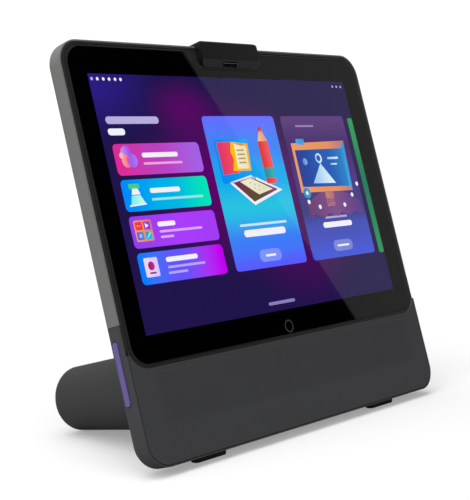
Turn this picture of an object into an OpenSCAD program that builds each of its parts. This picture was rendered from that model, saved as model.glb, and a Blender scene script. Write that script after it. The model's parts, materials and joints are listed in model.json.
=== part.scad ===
// Tabletop smart display: a thin tilted slab with a touch screen, a speaker chin below it,
// a battery pod behind that is its rear leg, and a lift-off camera hood on the top edge.
// Slab coordinates: x to the right, y (w) straight back through the slab, z (v) up the screen,
// with the origin at the middle of the picture.

/* [Display] */
// Lean of the slab back from upright, in degrees
tilt = 17.6; // [12:0.2:22]
// Width of the lit picture
screen_w = 217; // [175:1:265]
// Height of the lit picture
screen_h = 136; // [110:1:165]
// Black border beside the picture
border_side = 11.4; // [9:0.1:15]
// Black border above the picture, where the camera sits
border_top = 14; // [14:0.1:18]
// Black border below the picture
border_bottom = 13.7; // [12:0.1:18]
// Thickness of the cover glass
glass_t = 0.9; // [0.7:0.1:1.2]
// Thickness of the adhesive frame behind the glass
bond_t = 0.2; // [0.1:0.05:0.3]
// Thickness of the liquid crystal panel
lcd_t = 1.0; // [0.8:0.1:1.4]
// Thickness of the backlight
backlight_t = 1.6; // [1.2:0.1:2]
// Thickness of the metal mid frame
mid_t = 0.8; // [0.6:0.1:1.2]

/* [Bezel ring] */
// Width of the ring beside the glass
ring_side = 3.7; // [3:0.1:5]
// Width of the ring above the glass
ring_top = 2.4; // [2:0.1:4]
// Width of the ring below the glass
ring_bottom = 1.9; // [1.6:0.1:4]
// Corner radius of the ring
ring_r = 12.3; // [10:0.1:14]
// Width of the fine groove that runs round the ring
groove_w = 0.5; // [0.3:0.1:0.8]
// Depth of that groove
groove_d = 0.5; // [0.3:0.1:0.8]

/* [Housing] */
// Thickness of the slab from the ring's face to its back
slab_t = 11.6; // [11:0.1:15]
// Wall of the rear cover and of the housing
wall = 2.0; // [1.6:0.1:2.4]
// Rim of the cover that shows round the ring
rim = 0.8; // [0.7:0.1:1.2]
// Rounding of the slab's back edge
back_r = 5; // [3:0.1:6]
// Height of the front panel below the ring
chin_h = 47.8; // [44:0.1:60]
// How far the front panel stands proud of the ring
chin_proud = 1.1; // [0.6:0.1:1.6]
// Thickness of the front panel
panel_t = 2.0; // [1.6:0.1:2.4]
// Length of the horns that run up beside the ring's corners
horn_h = 8; // [4:0.5:10]
// Place of the joint between cover and housing, below the middle of the picture
split_v = 60.5; // [50:0.5:70]

/* [Grille] */
// Width of the perforated grille
grille_w = 219; // [180:1:225]
// Height of the perforated grille
grille_h = 28; // [24:1:34]
// Strip of plain panel above the grille
grille_top = 1.6; // [1:0.1:4]
// Thickness of the grille
grille_t = 0.8; // [0.6:0.1:1]
// Radius of a speaker's cone opening
driver_r = 12; // [10:0.5:13]
// Distance of each speaker from the middle
driver_x = 66; // [50:1:80]

/* [Side key] */
// Length of the rocker key
key_len = 32; // [26:0.5:39]
// Width of the rocker key
key_w = 3.4; // [2.8:0.1:4.5]
// How far the key stands proud of the side
key_proud = 0.5; // [0.3:0.1:1]
// Middle of the key below the middle of the picture
key_v = 84; // [82:0.5:92]
// Depth of the key's middle behind the picture
key_depth = 4.4; // [4.2:0.1:4.8]
// Radius of the key's pivot pin
key_pin_r = 0.8; // [0.6:0.05:1]

/* [Camera hood] */
// Width of the hood
hood_w = 48.6; // [40:0.2:60]
// Depth of the hood in front of the ring
hood_front = 4.2; // [4:0.1:6]
// Drop of the hood's front face below the slab's top
hood_drop = 8.5; // [8:0.1:11]
// Height of the slanted lip under the front face
hood_lip = 3.5; // [2.5:0.1:4]
// Drop of the rear leg below the slab's top
hood_leg = 13; // [10:0.5:18]
// Thickness of the hood's crown and leg
hood_t = 1.8; // [1.4:0.1:2.4]
// Corner radius at the foot of the hood's lip
hood_foot_r = 5; // [3:0.5:7]
// Corner radius at the hood's top
hood_top_r = 2.2; // [1.5:0.1:4]
// Half width of the plate that surrounds the camera
tab_hw = 31; // [27:0.1:34]
// Height of that plate
tab_h = 9.5; // [8.5:0.1:11]

/* [Pod] */
// Length of the pod from the slab's back to its far end, along its axis
pod_len = 82; // [68:1:99]
// Drop of the pod's axis towards the back, in degrees
pod_drop = 13.2; // [10:0.2:16]
// Radius of the pod's far end
pod_r = 17.5; // [16:0.5:21]
// Taper of the pod's side, in degrees
pod_taper = 3; // [1:0.5:4]
// Half distance between the centres of the pod's round sides
pod_hw = 82.5; // [76:0.5:90]
// Rounding of the pod's far end
pod_fillet = 4; // [3:0.5:6]
// Wall of the pod
pod_wall = 2.2; // [1.8:0.1:2.6]

/* [Feet] */
// Height of the two pads under the slab's back edge
foot_h = 2.4; // [1.6:0.1:3]
// Length of each of those pads
foot_len = 24; // [18:1:50]
// Distance of each pad from the middle
foot_x = 76; // [60:1:92]
// Gap between the pod's far end and the table
pod_gap = 0.8; // [0.6:0.1:1.2]
// Length of the foot under the pod
pod_foot_len = 130; // [90:1:150]

/* [Electronics] */
// Width of the main board
board_w = 130; // [100:1:160]
// Height of the main board
board_h = 62; // [50:1:70]
// Thickness of every circuit board
pcb_t = 1.0; // [0.8:0.1:1.2]
// Radius of a battery cell
cell_r = 9.1; // [7.5:0.1:9.3]
// Length of a battery cell
cell_len = 65; // [60:0.5:68]
// Width of the power socket's mouth
socket_w = 9; // [8.6:0.1:9.4]
// Height of the power socket's mouth
socket_h = 3.2; // [3:0.1:3.6]

/* [Fits] */
// Gap between the ring and what surrounds it
gap = 0.3; // [0.2:0.05:0.5]
// Gap between the glass and the ring
glass_gap = 0.2; // [0.15:0.05:0.3]
// Gap of the key in its slot
key_gap = 0.35; // [0.25:0.05:0.5]
// Radial clearance of the key's pivot pin
pin_gap = 0.05; // [0.03:0.01:0.08]
// Gap between the hood and the slab
hood_gap = 0.4; // [0.3:0.05:0.6]

/* [Hidden] */
$fn = 64;
far = 400;            // larger than the whole object, for cutting blocks
sink = 0.6;           // how far a boss or rib is sunk into the wall it grows from

// Outlines on the front, as half widths and heights
glass_hw = screen_w / 2 + border_side;
glass_v1 = screen_h / 2 + border_top;
glass_v0 = -screen_h / 2 - border_bottom;
ring_hw = glass_hw + ring_side;
ring_v1 = glass_v1 + ring_top;
ring_v0 = glass_v0 - ring_bottom;
glass_r = ring_r - ring_bottom;
body_hw = ring_hw + gap + rim;
body_v1 = ring_v1 + gap + rim;
panel_v1 = ring_v0 - gap;
panel_v0 = panel_v1 - chin_h;
body_v0 = panel_v0 - gap - rim;
body_r = ring_r + gap + rim;
panel_hw = body_hw - rim - gap;
panel_r = body_r - rim - gap;
lcd_side = 3;         // rim of the panel round the picture
lcd_edge = 2;         // rim of the panel above and below the picture
lcd_hw = screen_w / 2 + lcd_side;
lcd_v = screen_h / 2 + lcd_edge;
lcd_slack = 0.5;      // room round the panel in the ring

// Levels through the slab, measured back from the picture
front_w = -glass_t - bond_t;
mid_w = lcd_t + backlight_t;
ledge_w = mid_w + mid_t;
back_w = front_w + slab_t;
inner_w = back_w - wall;
panel_w = front_w - chin_proud;
panel_back = panel_w + panel_t;
side_w = panel_w + 0.2;          // front of the housing, just behind the panel's face

// Screws, as [shank radius, head radius, head height]
small_screw = [1.0, 1.9, 0.9];
pod_screw = [1.5, 2.8, 1.4];
boss_wall = 1.6;

// Where the slab and the pod stand on the table
foot_v = body_v0 + back_r;
foot_w = back_w - back_r;
slab_z = foot_h + back_r - foot_v * cos(tilt) + foot_w * sin(tilt);
tip_y = pod_len - pod_fillet;
tip_r = pod_r + pod_fillet * tan(pod_taper) - pod_fillet / cos(pod_taper);
root_z = pod_gap + pod_fillet + tip_y * sin(pod_drop) + tip_r * cos(pod_drop);
root_v = (root_z - slab_z + back_w * sin(tilt)) / cos(tilt);
root_y = root_v * sin(tilt) + back_w * cos(tilt);
front_y = min(panel_v0 * sin(tilt) + panel_w * cos(tilt),
    body_v0 * sin(tilt) + side_w * cos(tilt));
rear_y = root_y + tip_y * cos(pod_drop) + tip_r * sin(pod_drop) + pod_fillet;
slab_y = -(front_y + rear_y) / 2;
pod_root_r = pod_r + pod_len * tan(pod_taper);
pod_turn = tilt - pod_drop;

// Places that several pieces share
grille_v1 = panel_v1 - grille_top;
grille_v = grille_v1 - grille_h / 2;
driver_flange = driver_r + 4;
driver_v = grille_v - 1.5;
camera_v = glass_v1 - 5;
camera_half = 4;
camera_r = 2.6;
tab_v0 = glass_v1 - tab_h;
tab_r = 9;
frame_screw_x = lcd_hw + lcd_slack + 4.2;
cover_screw_v = [lcd_v - 10, 5, -lcd_v + 28];
housing_screw_v = -split_v - gap / 2 - small_screw[0] - boss_wall - 0.4;
board_v = 6;
board_w0 = ledge_w + 0.9;
board_w1 = board_w0 + pcb_t;
board_inset = 4;
key_x = -body_hw;
key_back = key_x + wall + key_gap + 0.9;
key_flange_t = 0.9;
key_pivot_x = key_back + key_flange_t + 1.5;
key_board_x = key_pivot_x + 1.9;
ear_gap = 0.25;
lug_half = 1.4;
ear_t = 1.0;
key_board_half = key_len / 2 + 1;
key_bay_w = 1.0;      // front of the bay cut for the key in the ring and the mid frame
cover_w = front_w + 0.1;        // front of the cover's rim
hood_v1 = body_v1 + hood_gap + hood_t;
hood_w0 = front_w - hood_front;
hood_w1 = back_w + hood_gap + hood_t;
hood_face = front_w - hood_gap;
pad_w0 = 1.2;
pad_w1 = foot_w - 0.4;
seat_gap = 0.02;
socket_x = 60;
socket_depth = 6.5;
socket_shell = 0.4;
socket_board_z = -socket_h / 2 - socket_shell;
panel_screw_x = [-104, 104];
panel_screw_v = panel_v0 + 9;
pod_screw_x = [-42, 0, 42];
pod_screw_v = pod_root_r - pod_wall - 2.6;
lead_x = 22;
lead_r = 5;
tray_z = -cell_r;
cell_y = [26, 26 + 2 * cell_r + 1.2];
cell_x = cell_len / 2 + 1;
tray_t = 1.6;

// Grille holes over each speaker, speaker parts, and their levels
grille_pitch = 4.4;
grille_hole = 0.9;
grille_span = 2;      // holes to each side of a speaker's middle
grille_r = 2;         // corner radius of the recess
gasket_t = 0.6;
flange_t = 1.0;
magnet_t = 2.2;
magnet_r = 7;
seat_w = 0.9;
roll_r = 1.3;
cone_t = 0.4;
cap_r = 3.6;
basket_t = 0.8;
speaker_screw_r = 0.7;
speaker_head = [1.3, 0.6];      // radius and height
basket_w = inner_w - gap - magnet_t;
flange_w = panel_back + gasket_t;

// Glass mark, adhesive frame, flat cable and screws round the screen
home_drop = 2.6;      // mark below the middle of the border
home_v = (glass_v0 - screen_h / 2) / 2 - home_drop;
home_r = 3.6;
home_line = 0.7;
home_t = 0.25;
bond_inset = 0.6;
lcd_r = 1;
flex_hw = 18;
flex_t = 0.2;
flex_gap = 0.5;
flex_v = -lcd_v + 3.5;          // where the cable turns back
flex_foot = 3;
frame_head_w = mid_w - 1;

// Board parts, antennas, microphones and camera
chip_t = 1.1;
chip_hw = 8;
memory_x = -16;
can_t = 1.7;
can_hw = 24;
can_hh = 18;
can_skin = 0.3;
spreader = [50, 24, 0.3];       // half width, half height and thickness
antenna_x = 96;
antenna_t = 0.3;
antenna_v = ring_v1 - 14;
mic_x = 52;
mic_v = ring_v1 - 10.5;
mic_t = 1.2;
camera_back = 5.2;
camera_wall = 0.9;

// Key: space of its flange round the cap, front of the bracket's ears, and the switches
key_flange = 1.1;
ear_front = 1.25;
ear_hw = 2.2;
plunger_gap = 0.55;
plunger_r = 0.8;
switch_hw = 1.7;
switch_gap = 1.2;

// Battery tray, its lead and the foot under the pod
lead_hw = 3;
lead_t = 0.5;
lead_w = board_w1 + 0.8;
tray_end = 3;
tray_lip = 2;
rib_t = 2;
foot_hw = 2.5;
pod_foot_hw = 5;
pod_foot_in = 13;     // from the end of the pod's flat underside
pod_foot_t = pod_gap + 1.1;

// Mirror inside the hood
mirror_hw = 6;
mirror_t = 0.5;
mirror_w = hood_w0 + 1.1;
mirror_len = (hood_face - mirror_w - gap) / sin(45) - mirror_t;
hood_skin = 0.9;

// ---------------------------------------------------------------- shared shapes

// Puts a piece drawn in slab coordinates on the table
module slab() {
    translate([0, slab_y, slab_z]) rotate([-tilt, 0, 0]) children();
}

// Pod coordinates: y along the pod's axis to the back, from its middle on the slab's back
module pod() {
    slab() translate([0, back_w, root_v]) rotate([pod_turn, 0, 0]) children();
}

// Rectangle with round corners, from height v0 to v1
module outline(hw, v0, v1, r) {
    translate([-hw + r, v0]) square([2 * (hw - r), v1 - v0]);
    translate([-hw, v0 + r]) square([2 * hw, v1 - v0 - 2 * r]);
    for (x = [-hw + r, hw - r], v = [v0 + r, v1 - r]) translate([x, v]) circle(r);
}

// Gives a front view its depth, from w0 back to w1
module deep(w0, w1) {
    translate([0, w1, 0]) rotate([90, 0, 0]) linear_extrude(w1 - w0) children();
}

module plate(hw, v0, v1, w0, w1, r) {
    deep(w0, w1) outline(hw, v0, v1, r);
}

// Plain block between two corners
module block(x0, x1, w0, w1, v0, v1) {
    translate([x0, w0, v0]) cube([x1 - x0, w1 - w0, v1 - v0]);
}

// Round bar along w
module bar(x, v, w0, w1, r) {
    translate([x, w0, v]) rotate([-90, 0, 0]) cylinder(r = r, h = w1 - w0);
}

// Flat strip in the (w, v) plane whose two back corners are round
module side_profile(w0, w1, v0, v1, f) {
    translate([w0, v0]) square([w1 - f - w0, v1 - v0]);
    translate([w0, v0 + f]) square([w1 - w0, v1 - v0 - 2 * f]);
    for (v = [v0 + f, v1 - f]) translate([w1 - f, v]) circle(f);
}

// Slab with round corners, whose back edge is rounded by f all the way round
module soft_slab(hw, v0, v1, w0, w1, r, f) {
    translate([-hw + r, 0, 0]) rotate([90, 0, 90]) linear_extrude(2 * (hw - r))
        side_profile(w0, w1, v0, v1, f);
    translate([0, 0, v0 + r]) linear_extrude(v1 - v0 - 2 * r)
        rotate(90) side_profile(w0, w1, -hw, hw, f);
    for (s = [-1, 1], m = [0, 1])
        translate([s * (hw - r), 0, m == 1 ? v1 - r : v0 + r]) mirror([s < 0 ? 1 : 0, 0, 0])
            mirror([0, 0, m]) rotate([-90, 0, 0]) rotate_extrude(angle = 90)
                corner_profile(w0, w1, r, f);
}

module corner_profile(w0, w1, r, f) {
    translate([0, w0]) square([r, w1 - f - w0]);
    translate([0, w0]) square([r - f, w1 - w0]);
    translate([r - f, w1 - f]) circle(f);
}

// Outer form of the two halves of the casing, or its inside when inset by t
module casing(t, w0) {
    soft_slab(body_hw - t, body_v0 + t, body_v1 - t, w0, back_w - t, body_r - t, back_r - t);
}

// Recess in the casing that takes the ring and the mid frame
module ring_recess() {
    plate(ring_hw + gap, ring_v0 - gap, ring_v1 + gap, -far, ledge_w, ring_r + gap);
}

// Half of the pod's outline along its axis, inset by t
module pod_half(t) {
    a = pod_taper;
    r0 = pod_root_r - t / cos(a);
    f = pod_fillet - t;
    side = [tip_r + f * cos(a), tip_y + f * sin(a)];
    polygon([[0, -back_r], [r0 + back_r * tan(a), -back_r], side, [tip_r, tip_y],
        [tip_r, tip_y + f], [0, tip_y + f]]);
    translate([tip_r, tip_y]) circle(f);
}

// The pod as a solid: two round tapering sides and the flat stretch between them
module pod_solid(t) {
    for (s = [-1, 1]) translate([s * pod_hw, 0, 0]) rotate([-90, 0, 0])
        rotate_extrude() pod_half(t);
    translate([-pod_hw, 0, 0]) rotate([90, 0, 90]) linear_extrude(2 * pod_hw)
        for (m = [0, 1]) rotate(90) mirror([m, 0]) mirror([0, 1]) pod_half(t);
}

// Screw along w whose head's underside is at w, pointing back (1) or forward (-1)
module screw(x, v, w, len, size, dir) {
    translate([x, w, v]) rotate([-90 * dir, 0, 0]) difference() {
        union() {
            cylinder(r = size[0], h = len);
            translate([0, 0, -size[2]]) cylinder(r = size[1], h = size[2]);
        }
        translate([0, 0, -size[2] - sink]) cylinder(r = size[0] * 0.8, h = sink + 0.5, $fn = 6);
    }
}

// ---------------------------------------------------------------- casing

module screw_posts(list) {
    for (x = [-frame_screw_x, frame_screw_x], v = list)
        bar(x, v, ledge_w, inner_w + sink, small_screw[0] + boss_wall);
}

module screw_holes(list) {
    for (x = [-frame_screw_x, frame_screw_x], v = list)
        bar(x, v, -far, inner_w - sink, small_screw[0]);
}

module rear_cover() color([0.44, 0.44, 0.44]) slab() difference() {
    union() {
        difference() {
            casing(0, cover_w);
            casing(wall, -far);
            ring_recess();
        }
        screw_posts(cover_screw_v);
    }
    screw_holes(cover_screw_v);
    block(-far, far, -far, far, -far, -split_v);
}

module lower_housing() color([0.24, 0.24, 0.25]) slab() difference() {
    union() {
        difference() {
            casing(0, side_w);
            casing(wall, -far);
            ring_recess();
            plate(panel_hw + gap, panel_v0 - gap, panel_v1 + far / 2, -far, panel_back,
                panel_r + gap);
            block(-far, far, -far, cover_w, panel_v1 + horn_h, far);
        }
        screw_posts([housing_screw_v]);
    }
    screw_holes([housing_screw_v]);
    block(-far, far, -far, far, -split_v - gap / 2, far);
    key_slot();
    for (x = panel_screw_x) {
        bar(x, panel_screw_v, 0, far, small_screw[0] + pin_gap);
        bar(x, panel_screw_v, back_w - small_screw[2] - 0.1, far, small_screw[1] + gap);
    }
    for (x = pod_screw_x, s = [-1, 1])
        bar(x, root_v + s * pod_screw_v, 0, far, pod_screw[0] + 2 * pin_gap);
    bar(lead_x, root_v, 0, far, lead_r);
}

module key_slot() {
    translate([0, key_depth, -key_v]) rotate([0, 90, 0])
        translate([0, 0, -far]) linear_extrude(far - body_hw + wall + sink)
            pill(key_len / 2 + key_gap, key_w / 2 + key_gap);
}

// Long round-ended shape: half length along x, half width along y
module pill(a, b) {
    translate([-a + b, -b]) square([2 * (a - b), 2 * b]);
    for (x = [-a + b, a - b]) translate([x, 0]) circle(b);
}

module front_panel() color([0.25, 0.25, 0.26]) slab() difference() {
    union() {
        plate(panel_hw, panel_v0, panel_v1 + horn_h + far / 4, panel_w, panel_back, panel_r);
        for (x = panel_screw_x)
            bar(x, panel_screw_v, panel_back - sink, inner_w - gap, small_screw[0] + boss_wall);
    }
    plate(ring_hw + gap, ring_v0 - gap, ring_v1, -far, far, ring_r + gap);
    block(-far, far, -far, far, panel_v1 + horn_h, far);
    plate(grille_w / 2 + glass_gap, grille_v1 - grille_h - glass_gap, grille_v1 + glass_gap,
        -far, panel_w + grille_t, grille_r);
    for (s = [-1, 1]) bar(s * driver_x, driver_v, -far, far, driver_r);
    for (x = panel_screw_x) bar(x, panel_screw_v, panel_back + 0.8, far, small_screw[0]);
    driver_holes(panel_w + grille_t + 0.4);
}

// Thin plate laid into the panel, pierced over each speaker
module grille() color([0.22, 0.22, 0.23]) slab() difference() {
    plate(grille_w / 2, grille_v1 - grille_h, grille_v1, panel_w, panel_w + grille_t,
        grille_r - glass_gap);
    for (s = [-1, 1], i = [-grille_span:grille_span], j = [-grille_span:grille_span])
        bar(s * driver_x + i * grille_pitch, driver_v + j * grille_pitch, -far, far, grille_hole);
}

// ---------------------------------------------------------------- screen

// The ring that frames the glass, with the ledge that carries it
module bezel_ring() color([0.16, 0.16, 0.17]) slab() difference() {
    plate(ring_hw, ring_v0, ring_v1, front_w, mid_w, ring_r);
    plate(glass_hw + glass_gap, glass_v0 - glass_gap, glass_v1 + glass_gap, -far, 0, glass_r);
    plate(lcd_hw + lcd_slack, -lcd_v - lcd_slack, lcd_v + lcd_slack, -far, far, 1.5);
    ring_groove();
    key_bay();
    block(-camera_half - gap, camera_half + gap, -far, far, 0, camera_v + camera_half + gap);
    for (x = [-frame_screw_x, frame_screw_x], v = concat(cover_screw_v, [housing_screw_v])) {
        bar(x, v, -far, far, small_screw[0] + pin_gap);
        bar(x, v, -far, frame_head_w, small_screw[1] + gap);
    }
}

module ring_groove() {
    g = ring_side / 2;
    v = ring_bottom / 2;
    difference() {
        plate(ring_hw - g, ring_v0 + v, ring_v1 - v, front_w - 1, front_w + groove_d, ring_r - v);
        plate(ring_hw - g - groove_w, ring_v0 + v + groove_w, ring_v1 - v - groove_w,
            front_w - 2, front_w + groove_d + 1, ring_r - v - groove_w);
    }
}

// Front view of the plate round the camera, grown by t
module tab_outline(t) {
    intersection() {
        outline(tab_hw + t, tab_v0 - t, tab_v0 + 3 * tab_r, tab_r + t);
        translate([-far, -far]) square([2 * far, far + glass_v1 + t]);
    }
}

module camera_tab() color([0.14, 0.14, 0.15]) slab() difference() {
    deep(front_w, -bond_t) tab_outline(0);
    bar(0, camera_v, -far, far, camera_r + pin_gap);
}

module cover_glass() color([0.01, 0.01, 0.012]) slab() difference() {
    plate(glass_hw, glass_v0, glass_v1, front_w, -bond_t, glass_r - glass_gap);
    deep(-far, far) tab_outline(glass_gap);
    difference() {
        bar(0, home_v, -far, front_w + home_t, home_r);
        bar(0, home_v, -far, far, home_r - home_line);
    }
}

// Printed ring that marks the touch spot under the picture
module home_ring() color([0.3, 0.3, 0.31]) slab() difference() {
    bar(0, home_v, front_w, front_w + home_t, home_r);
    bar(0, home_v, -far, far, home_r - home_line);
}

module glass_bond() color([0.05, 0.05, 0.05]) slab() difference() {
    plate(glass_hw - bond_inset, glass_v0 + bond_inset, glass_v1 - bond_inset, -bond_t, 0,
        glass_r - bond_inset);
    plate(lcd_hw - lcd_side / 2, -lcd_v + lcd_edge / 2, lcd_v - lcd_edge / 2, -far, far, lcd_r);
    block(-camera_half - gap, camera_half + gap, -far, far, 0, far);
    for (x = [-frame_screw_x, frame_screw_x], v = concat(cover_screw_v, [housing_screw_v]))
        bar(x, v, -far, far, small_screw[1] + gap);
}

module lcd_panel() color([0.13, 0.09, 0.3]) slab()
    plate(lcd_hw, -lcd_v, lcd_v, 0, lcd_t, lcd_r);

module backlight() color([0.85, 0.85, 0.82]) slab() difference() {
    plate(lcd_hw, -lcd_v, lcd_v, lcd_t, mid_w, lcd_r);
    block(-flex_hw - flex_gap, flex_hw + flex_gap, mid_w - flex_t, far, -far, flex_v + flex_gap);
}

// Flat cable from the panel, through a slot in the mid frame, up to the main board
module display_flex() color([0.75, 0.45, 0.1]) slab() {
    block(-flex_hw, flex_hw, mid_w - flex_t, mid_w, flex_v - flex_foot, flex_v);
    block(-flex_hw, flex_hw, mid_w - flex_t, board_w0, flex_v - flex_t, flex_v);
    block(-flex_hw, flex_hw, board_w0 - flex_t, board_w0, flex_v - flex_t,
        board_v - board_h / 2 + flex_foot);
}

module mid_frame() color([0.6, 0.61, 0.63]) slab() difference() {
    union() {
        plate(ring_hw - gap, ring_v0 + gap, ring_v1 - gap, mid_w, ledge_w, ring_r - gap);
        for (x = [-1, 1], v = [-1, 1]) board_corner(x, v)
            bar(0, 0, ledge_w - mid_t / 2, board_w0, small_screw[0] + boss_wall);
    }
    key_bay();
    block(-flex_hw - flex_gap, flex_hw + flex_gap, -far, far, flex_v - flex_t - flex_gap,
        flex_v + flex_gap);
    block(-camera_half - gap, camera_half + gap, -far, far, camera_v - camera_half - gap,
        camera_v + camera_half + gap);
    for (x = [-1, 1], v = [-1, 1]) board_corner(x, v)
        bar(0, 0, mid_w + 0.3, far, small_screw[0]);
    for (x = [-frame_screw_x, frame_screw_x], v = concat(cover_screw_v, [housing_screw_v]))
        bar(x, v, -far, far, small_screw[0] + pin_gap);
}

module board_corner(x, v) {
    translate([x * (board_w / 2 - board_inset), 0, board_v + v * (board_h / 2 - board_inset)])
        children();
}

// ---------------------------------------------------------------- electronics

module main_board() color([0.05, 0.3, 0.15]) slab() difference() {
    plate(board_w / 2, board_v - board_h / 2, board_v + board_h / 2, board_w0, board_w1, 2);
    for (x = [-1, 1], v = [-1, 1]) board_corner(x, v)
        bar(0, 0, 0, far, small_screw[0] + pin_gap);
}

// Processor and, beside it, the memory
module processor() color([0.08, 0.08, 0.09]) slab() {
    block(-chip_hw, chip_hw, board_w1, board_w1 + chip_t, board_v - chip_hw, board_v + chip_hw);
    block(memory_x - 5, memory_x + 5, board_w1, board_w1 + chip_t, board_v - 7, board_v + 7);
}

// Pressed metal lid over the processor
module shield_can() color([0.75, 0.75, 0.76]) slab() difference() {
    plate(can_hw, board_v - can_hh, board_v + can_hh, board_w1, board_w1 + can_t, 1);
    plate(can_hw - can_skin, board_v - can_hh + can_skin, board_v + can_hh - can_skin,
        0, board_w1 + can_t - can_skin, 0.7);
}

module heat_spreader() color([0.7, 0.4, 0.25]) slab()
    plate(spreader[0], board_v - spreader[1], board_v + spreader[1], board_w1 + can_t,
        board_w1 + can_t + spreader[2], 3);

// Stamped antennas on the inside of the cover's back, one at each upper corner
module antenna(s) color([0.8, 0.65, 0.3]) slab() {
    x = s * antenna_x;
    block(x - 12, x + 12, inner_w - antenna_t, inner_w, antenna_v - 2, antenna_v + 2);
    block(x - 1.5, x + 1.5, inner_w - antenna_t, inner_w, antenna_v - 10, antenna_v - 1);
}
module antenna_left() antenna(-1);
module antenna_right() antenna(1);

module camera_module() color([0.1, 0.1, 0.1]) slab() difference() {
    union() {
        block(-camera_half, camera_half, camera_wall, camera_back, camera_v - camera_half,
            camera_v + camera_half);
        bar(0, camera_v, -bond_t, camera_wall + sink, camera_r);
    }
    bar(0, camera_v, -far, camera_wall, camera_r - camera_wall);
}

module camera_lens() color([0.05, 0.06, 0.1]) slab()
    bar(0, camera_v, front_w, -bond_t, camera_r);

module microphones() color([0.7, 0.6, 0.3]) slab() for (x = [-mic_x, mic_x])
    block(x - 2, x + 2, inner_w - mic_t, inner_w, mic_v - 1.5, mic_v + 1.5);

// ---------------------------------------------------------------- speakers

module driver(s) {
    translate([s * driver_x, 0, driver_v]) rotate([-90, 0, 0]) children();
}

// Four screw places round a speaker
module driver_corners() {
    for (a = [45:90:315]) rotate(a) translate([driver_flange - 1.6, 0, 0]) children();
}

module driver_holes(w0) {
    for (s = [-1, 1]) driver(s) translate([0, 0, w0]) driver_corners()
        cylinder(r = speaker_screw_r, h = panel_back - w0 + 1);
}

module speaker_gasket(s) color([0.08, 0.08, 0.08]) slab() driver(s)
    translate([0, 0, panel_back]) difference() {
        cylinder(r = driver_flange, h = gasket_t);
        translate([0, 0, -1]) cylinder(r = driver_r, h = gasket_t + 2);
        translate([0, 0, -1]) driver_corners() cylinder(r = speaker_screw_r, h = gasket_t + 2);
    }
module speaker_gasket_left() speaker_gasket(-1);
module speaker_gasket_right() speaker_gasket(1);

// Basket: flange, sloping cup and the seat of the magnet
module speaker_frame(s) color([0.5, 0.5, 0.52]) slab() driver(s) difference() {
    rotate_extrude() polygon([[magnet_r - 2, basket_w - basket_t], [magnet_r - 2, basket_w],
        [driver_r - 1.5, basket_w], [driver_r + 0.8, flange_w + flange_t],
        [driver_flange, flange_w + flange_t], [driver_flange, flange_w],
        [driver_r - seat_w, flange_w], [driver_r - seat_w - 1.8, basket_w - basket_t]]);
    translate([0, 0, flange_w - 1]) driver_corners()
        cylinder(r = speaker_screw_r + pin_gap, h = flange_t + 2);
}
module speaker_frame_left() speaker_frame(-1);
module speaker_frame_right() speaker_frame(1);

// Cone with its rolled edge and dust cap, clear of the grille in front of it
module speaker_cone(s) color([0.12, 0.12, 0.13]) slab() driver(s) rotate_extrude() {
    roll = driver_r - seat_w - roll_r + 0.2;
    cap_w = basket_w - 2;
    polygon(concat(
        [[0, cap_w - 2 * cone_t], [cap_r, cap_w - cone_t], [roll - roll_r, flange_w - cone_t]],
        [for (a = [165:-15:15]) [roll + roll_r * cos(a), flange_w - roll_r * sin(a)]],
        [[driver_r - 0.1, flange_w - cone_t], [driver_r - 0.1, flange_w]],
        [for (a = [0:15:180]) [roll + (roll_r - cone_t) * cos(a),
            flange_w - (roll_r - cone_t) * sin(a)]],
        [[cap_r, cap_w + cone_t], [cap_r - cone_t, cap_w], [0, cap_w]]));
}
module speaker_cone_left() speaker_cone(-1);
module speaker_cone_right() speaker_cone(1);

module speaker_magnet(s) color([0.35, 0.35, 0.37]) slab() driver(s)
    translate([0, 0, basket_w]) cylinder(r = magnet_r, h = magnet_t);
module speaker_magnet_left() speaker_magnet(-1);
module speaker_magnet_right() speaker_magnet(1);

module speaker_screws() color([0.6, 0.6, 0.62]) slab() for (s = [-1, 1]) driver(s)
    driver_corners() {
        translate([0, 0, panel_back - sink])
            cylinder(r = speaker_screw_r, h = flange_w + flange_t - panel_back + sink);
        translate([0, 0, flange_w + flange_t]) cylinder(r = speaker_head[0], h = speaker_head[1]);
    }

// ---------------------------------------------------------------- side key

// Stands a shape drawn in the side view (length, width) on the left wall at depth x
module on_side(x, t) {
    translate([x, key_depth, -key_v]) rotate([0, 90, 0]) linear_extrude(t) children();
}

// Rocker: cap, inner flange that keeps it in, lug and pivot pin
module side_key() color([0.45, 0.38, 0.65]) slab() {
    on_side(key_x - key_proud, key_back + key_proud - key_x + 0.2) pill(key_len / 2, key_w / 2);
    on_side(key_back, key_flange_t) pill(key_len / 2 + key_flange, key_w / 2 + key_flange);
    block(key_back + key_flange_t - 0.2, key_pivot_x + key_pin_r + 0.3,
        key_depth - lug_half, key_depth + lug_half, -key_v - 1.6, -key_v + 1.6);
    bar(key_pivot_x, -key_v, key_depth - lug_half - ear_gap - ear_t,
        key_depth + lug_half + ear_gap + ear_t, key_pin_r);
}

// Two ears on the key's board that carry the pivot pin
module key_bracket() color([0.6, 0.6, 0.6]) slab() difference() {
    for (s = [-1, 1]) {
        w = key_depth + s * (lug_half + ear_gap + ear_t / 2);
        block(key_pivot_x - ear_front, key_board_x, w - ear_t / 2, w + ear_t / 2,
            -key_v - ear_hw, -key_v + ear_hw);
    }
    bar(key_pivot_x, -key_v, -far, far, key_pin_r + pin_gap);
}

module key_board() color([0.05, 0.3, 0.15]) slab()
    block(key_board_x, key_board_x + pcb_t, key_bay_w + gap, inner_w,
        -key_v - key_board_half, -key_v + key_board_half);

// Room for the key's works, cut from the pieces they would meet
module key_bay() {
    block(-far, key_board_x + pcb_t + gap, key_bay_w, far, -far, -key_v + key_board_half + gap);
}

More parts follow.
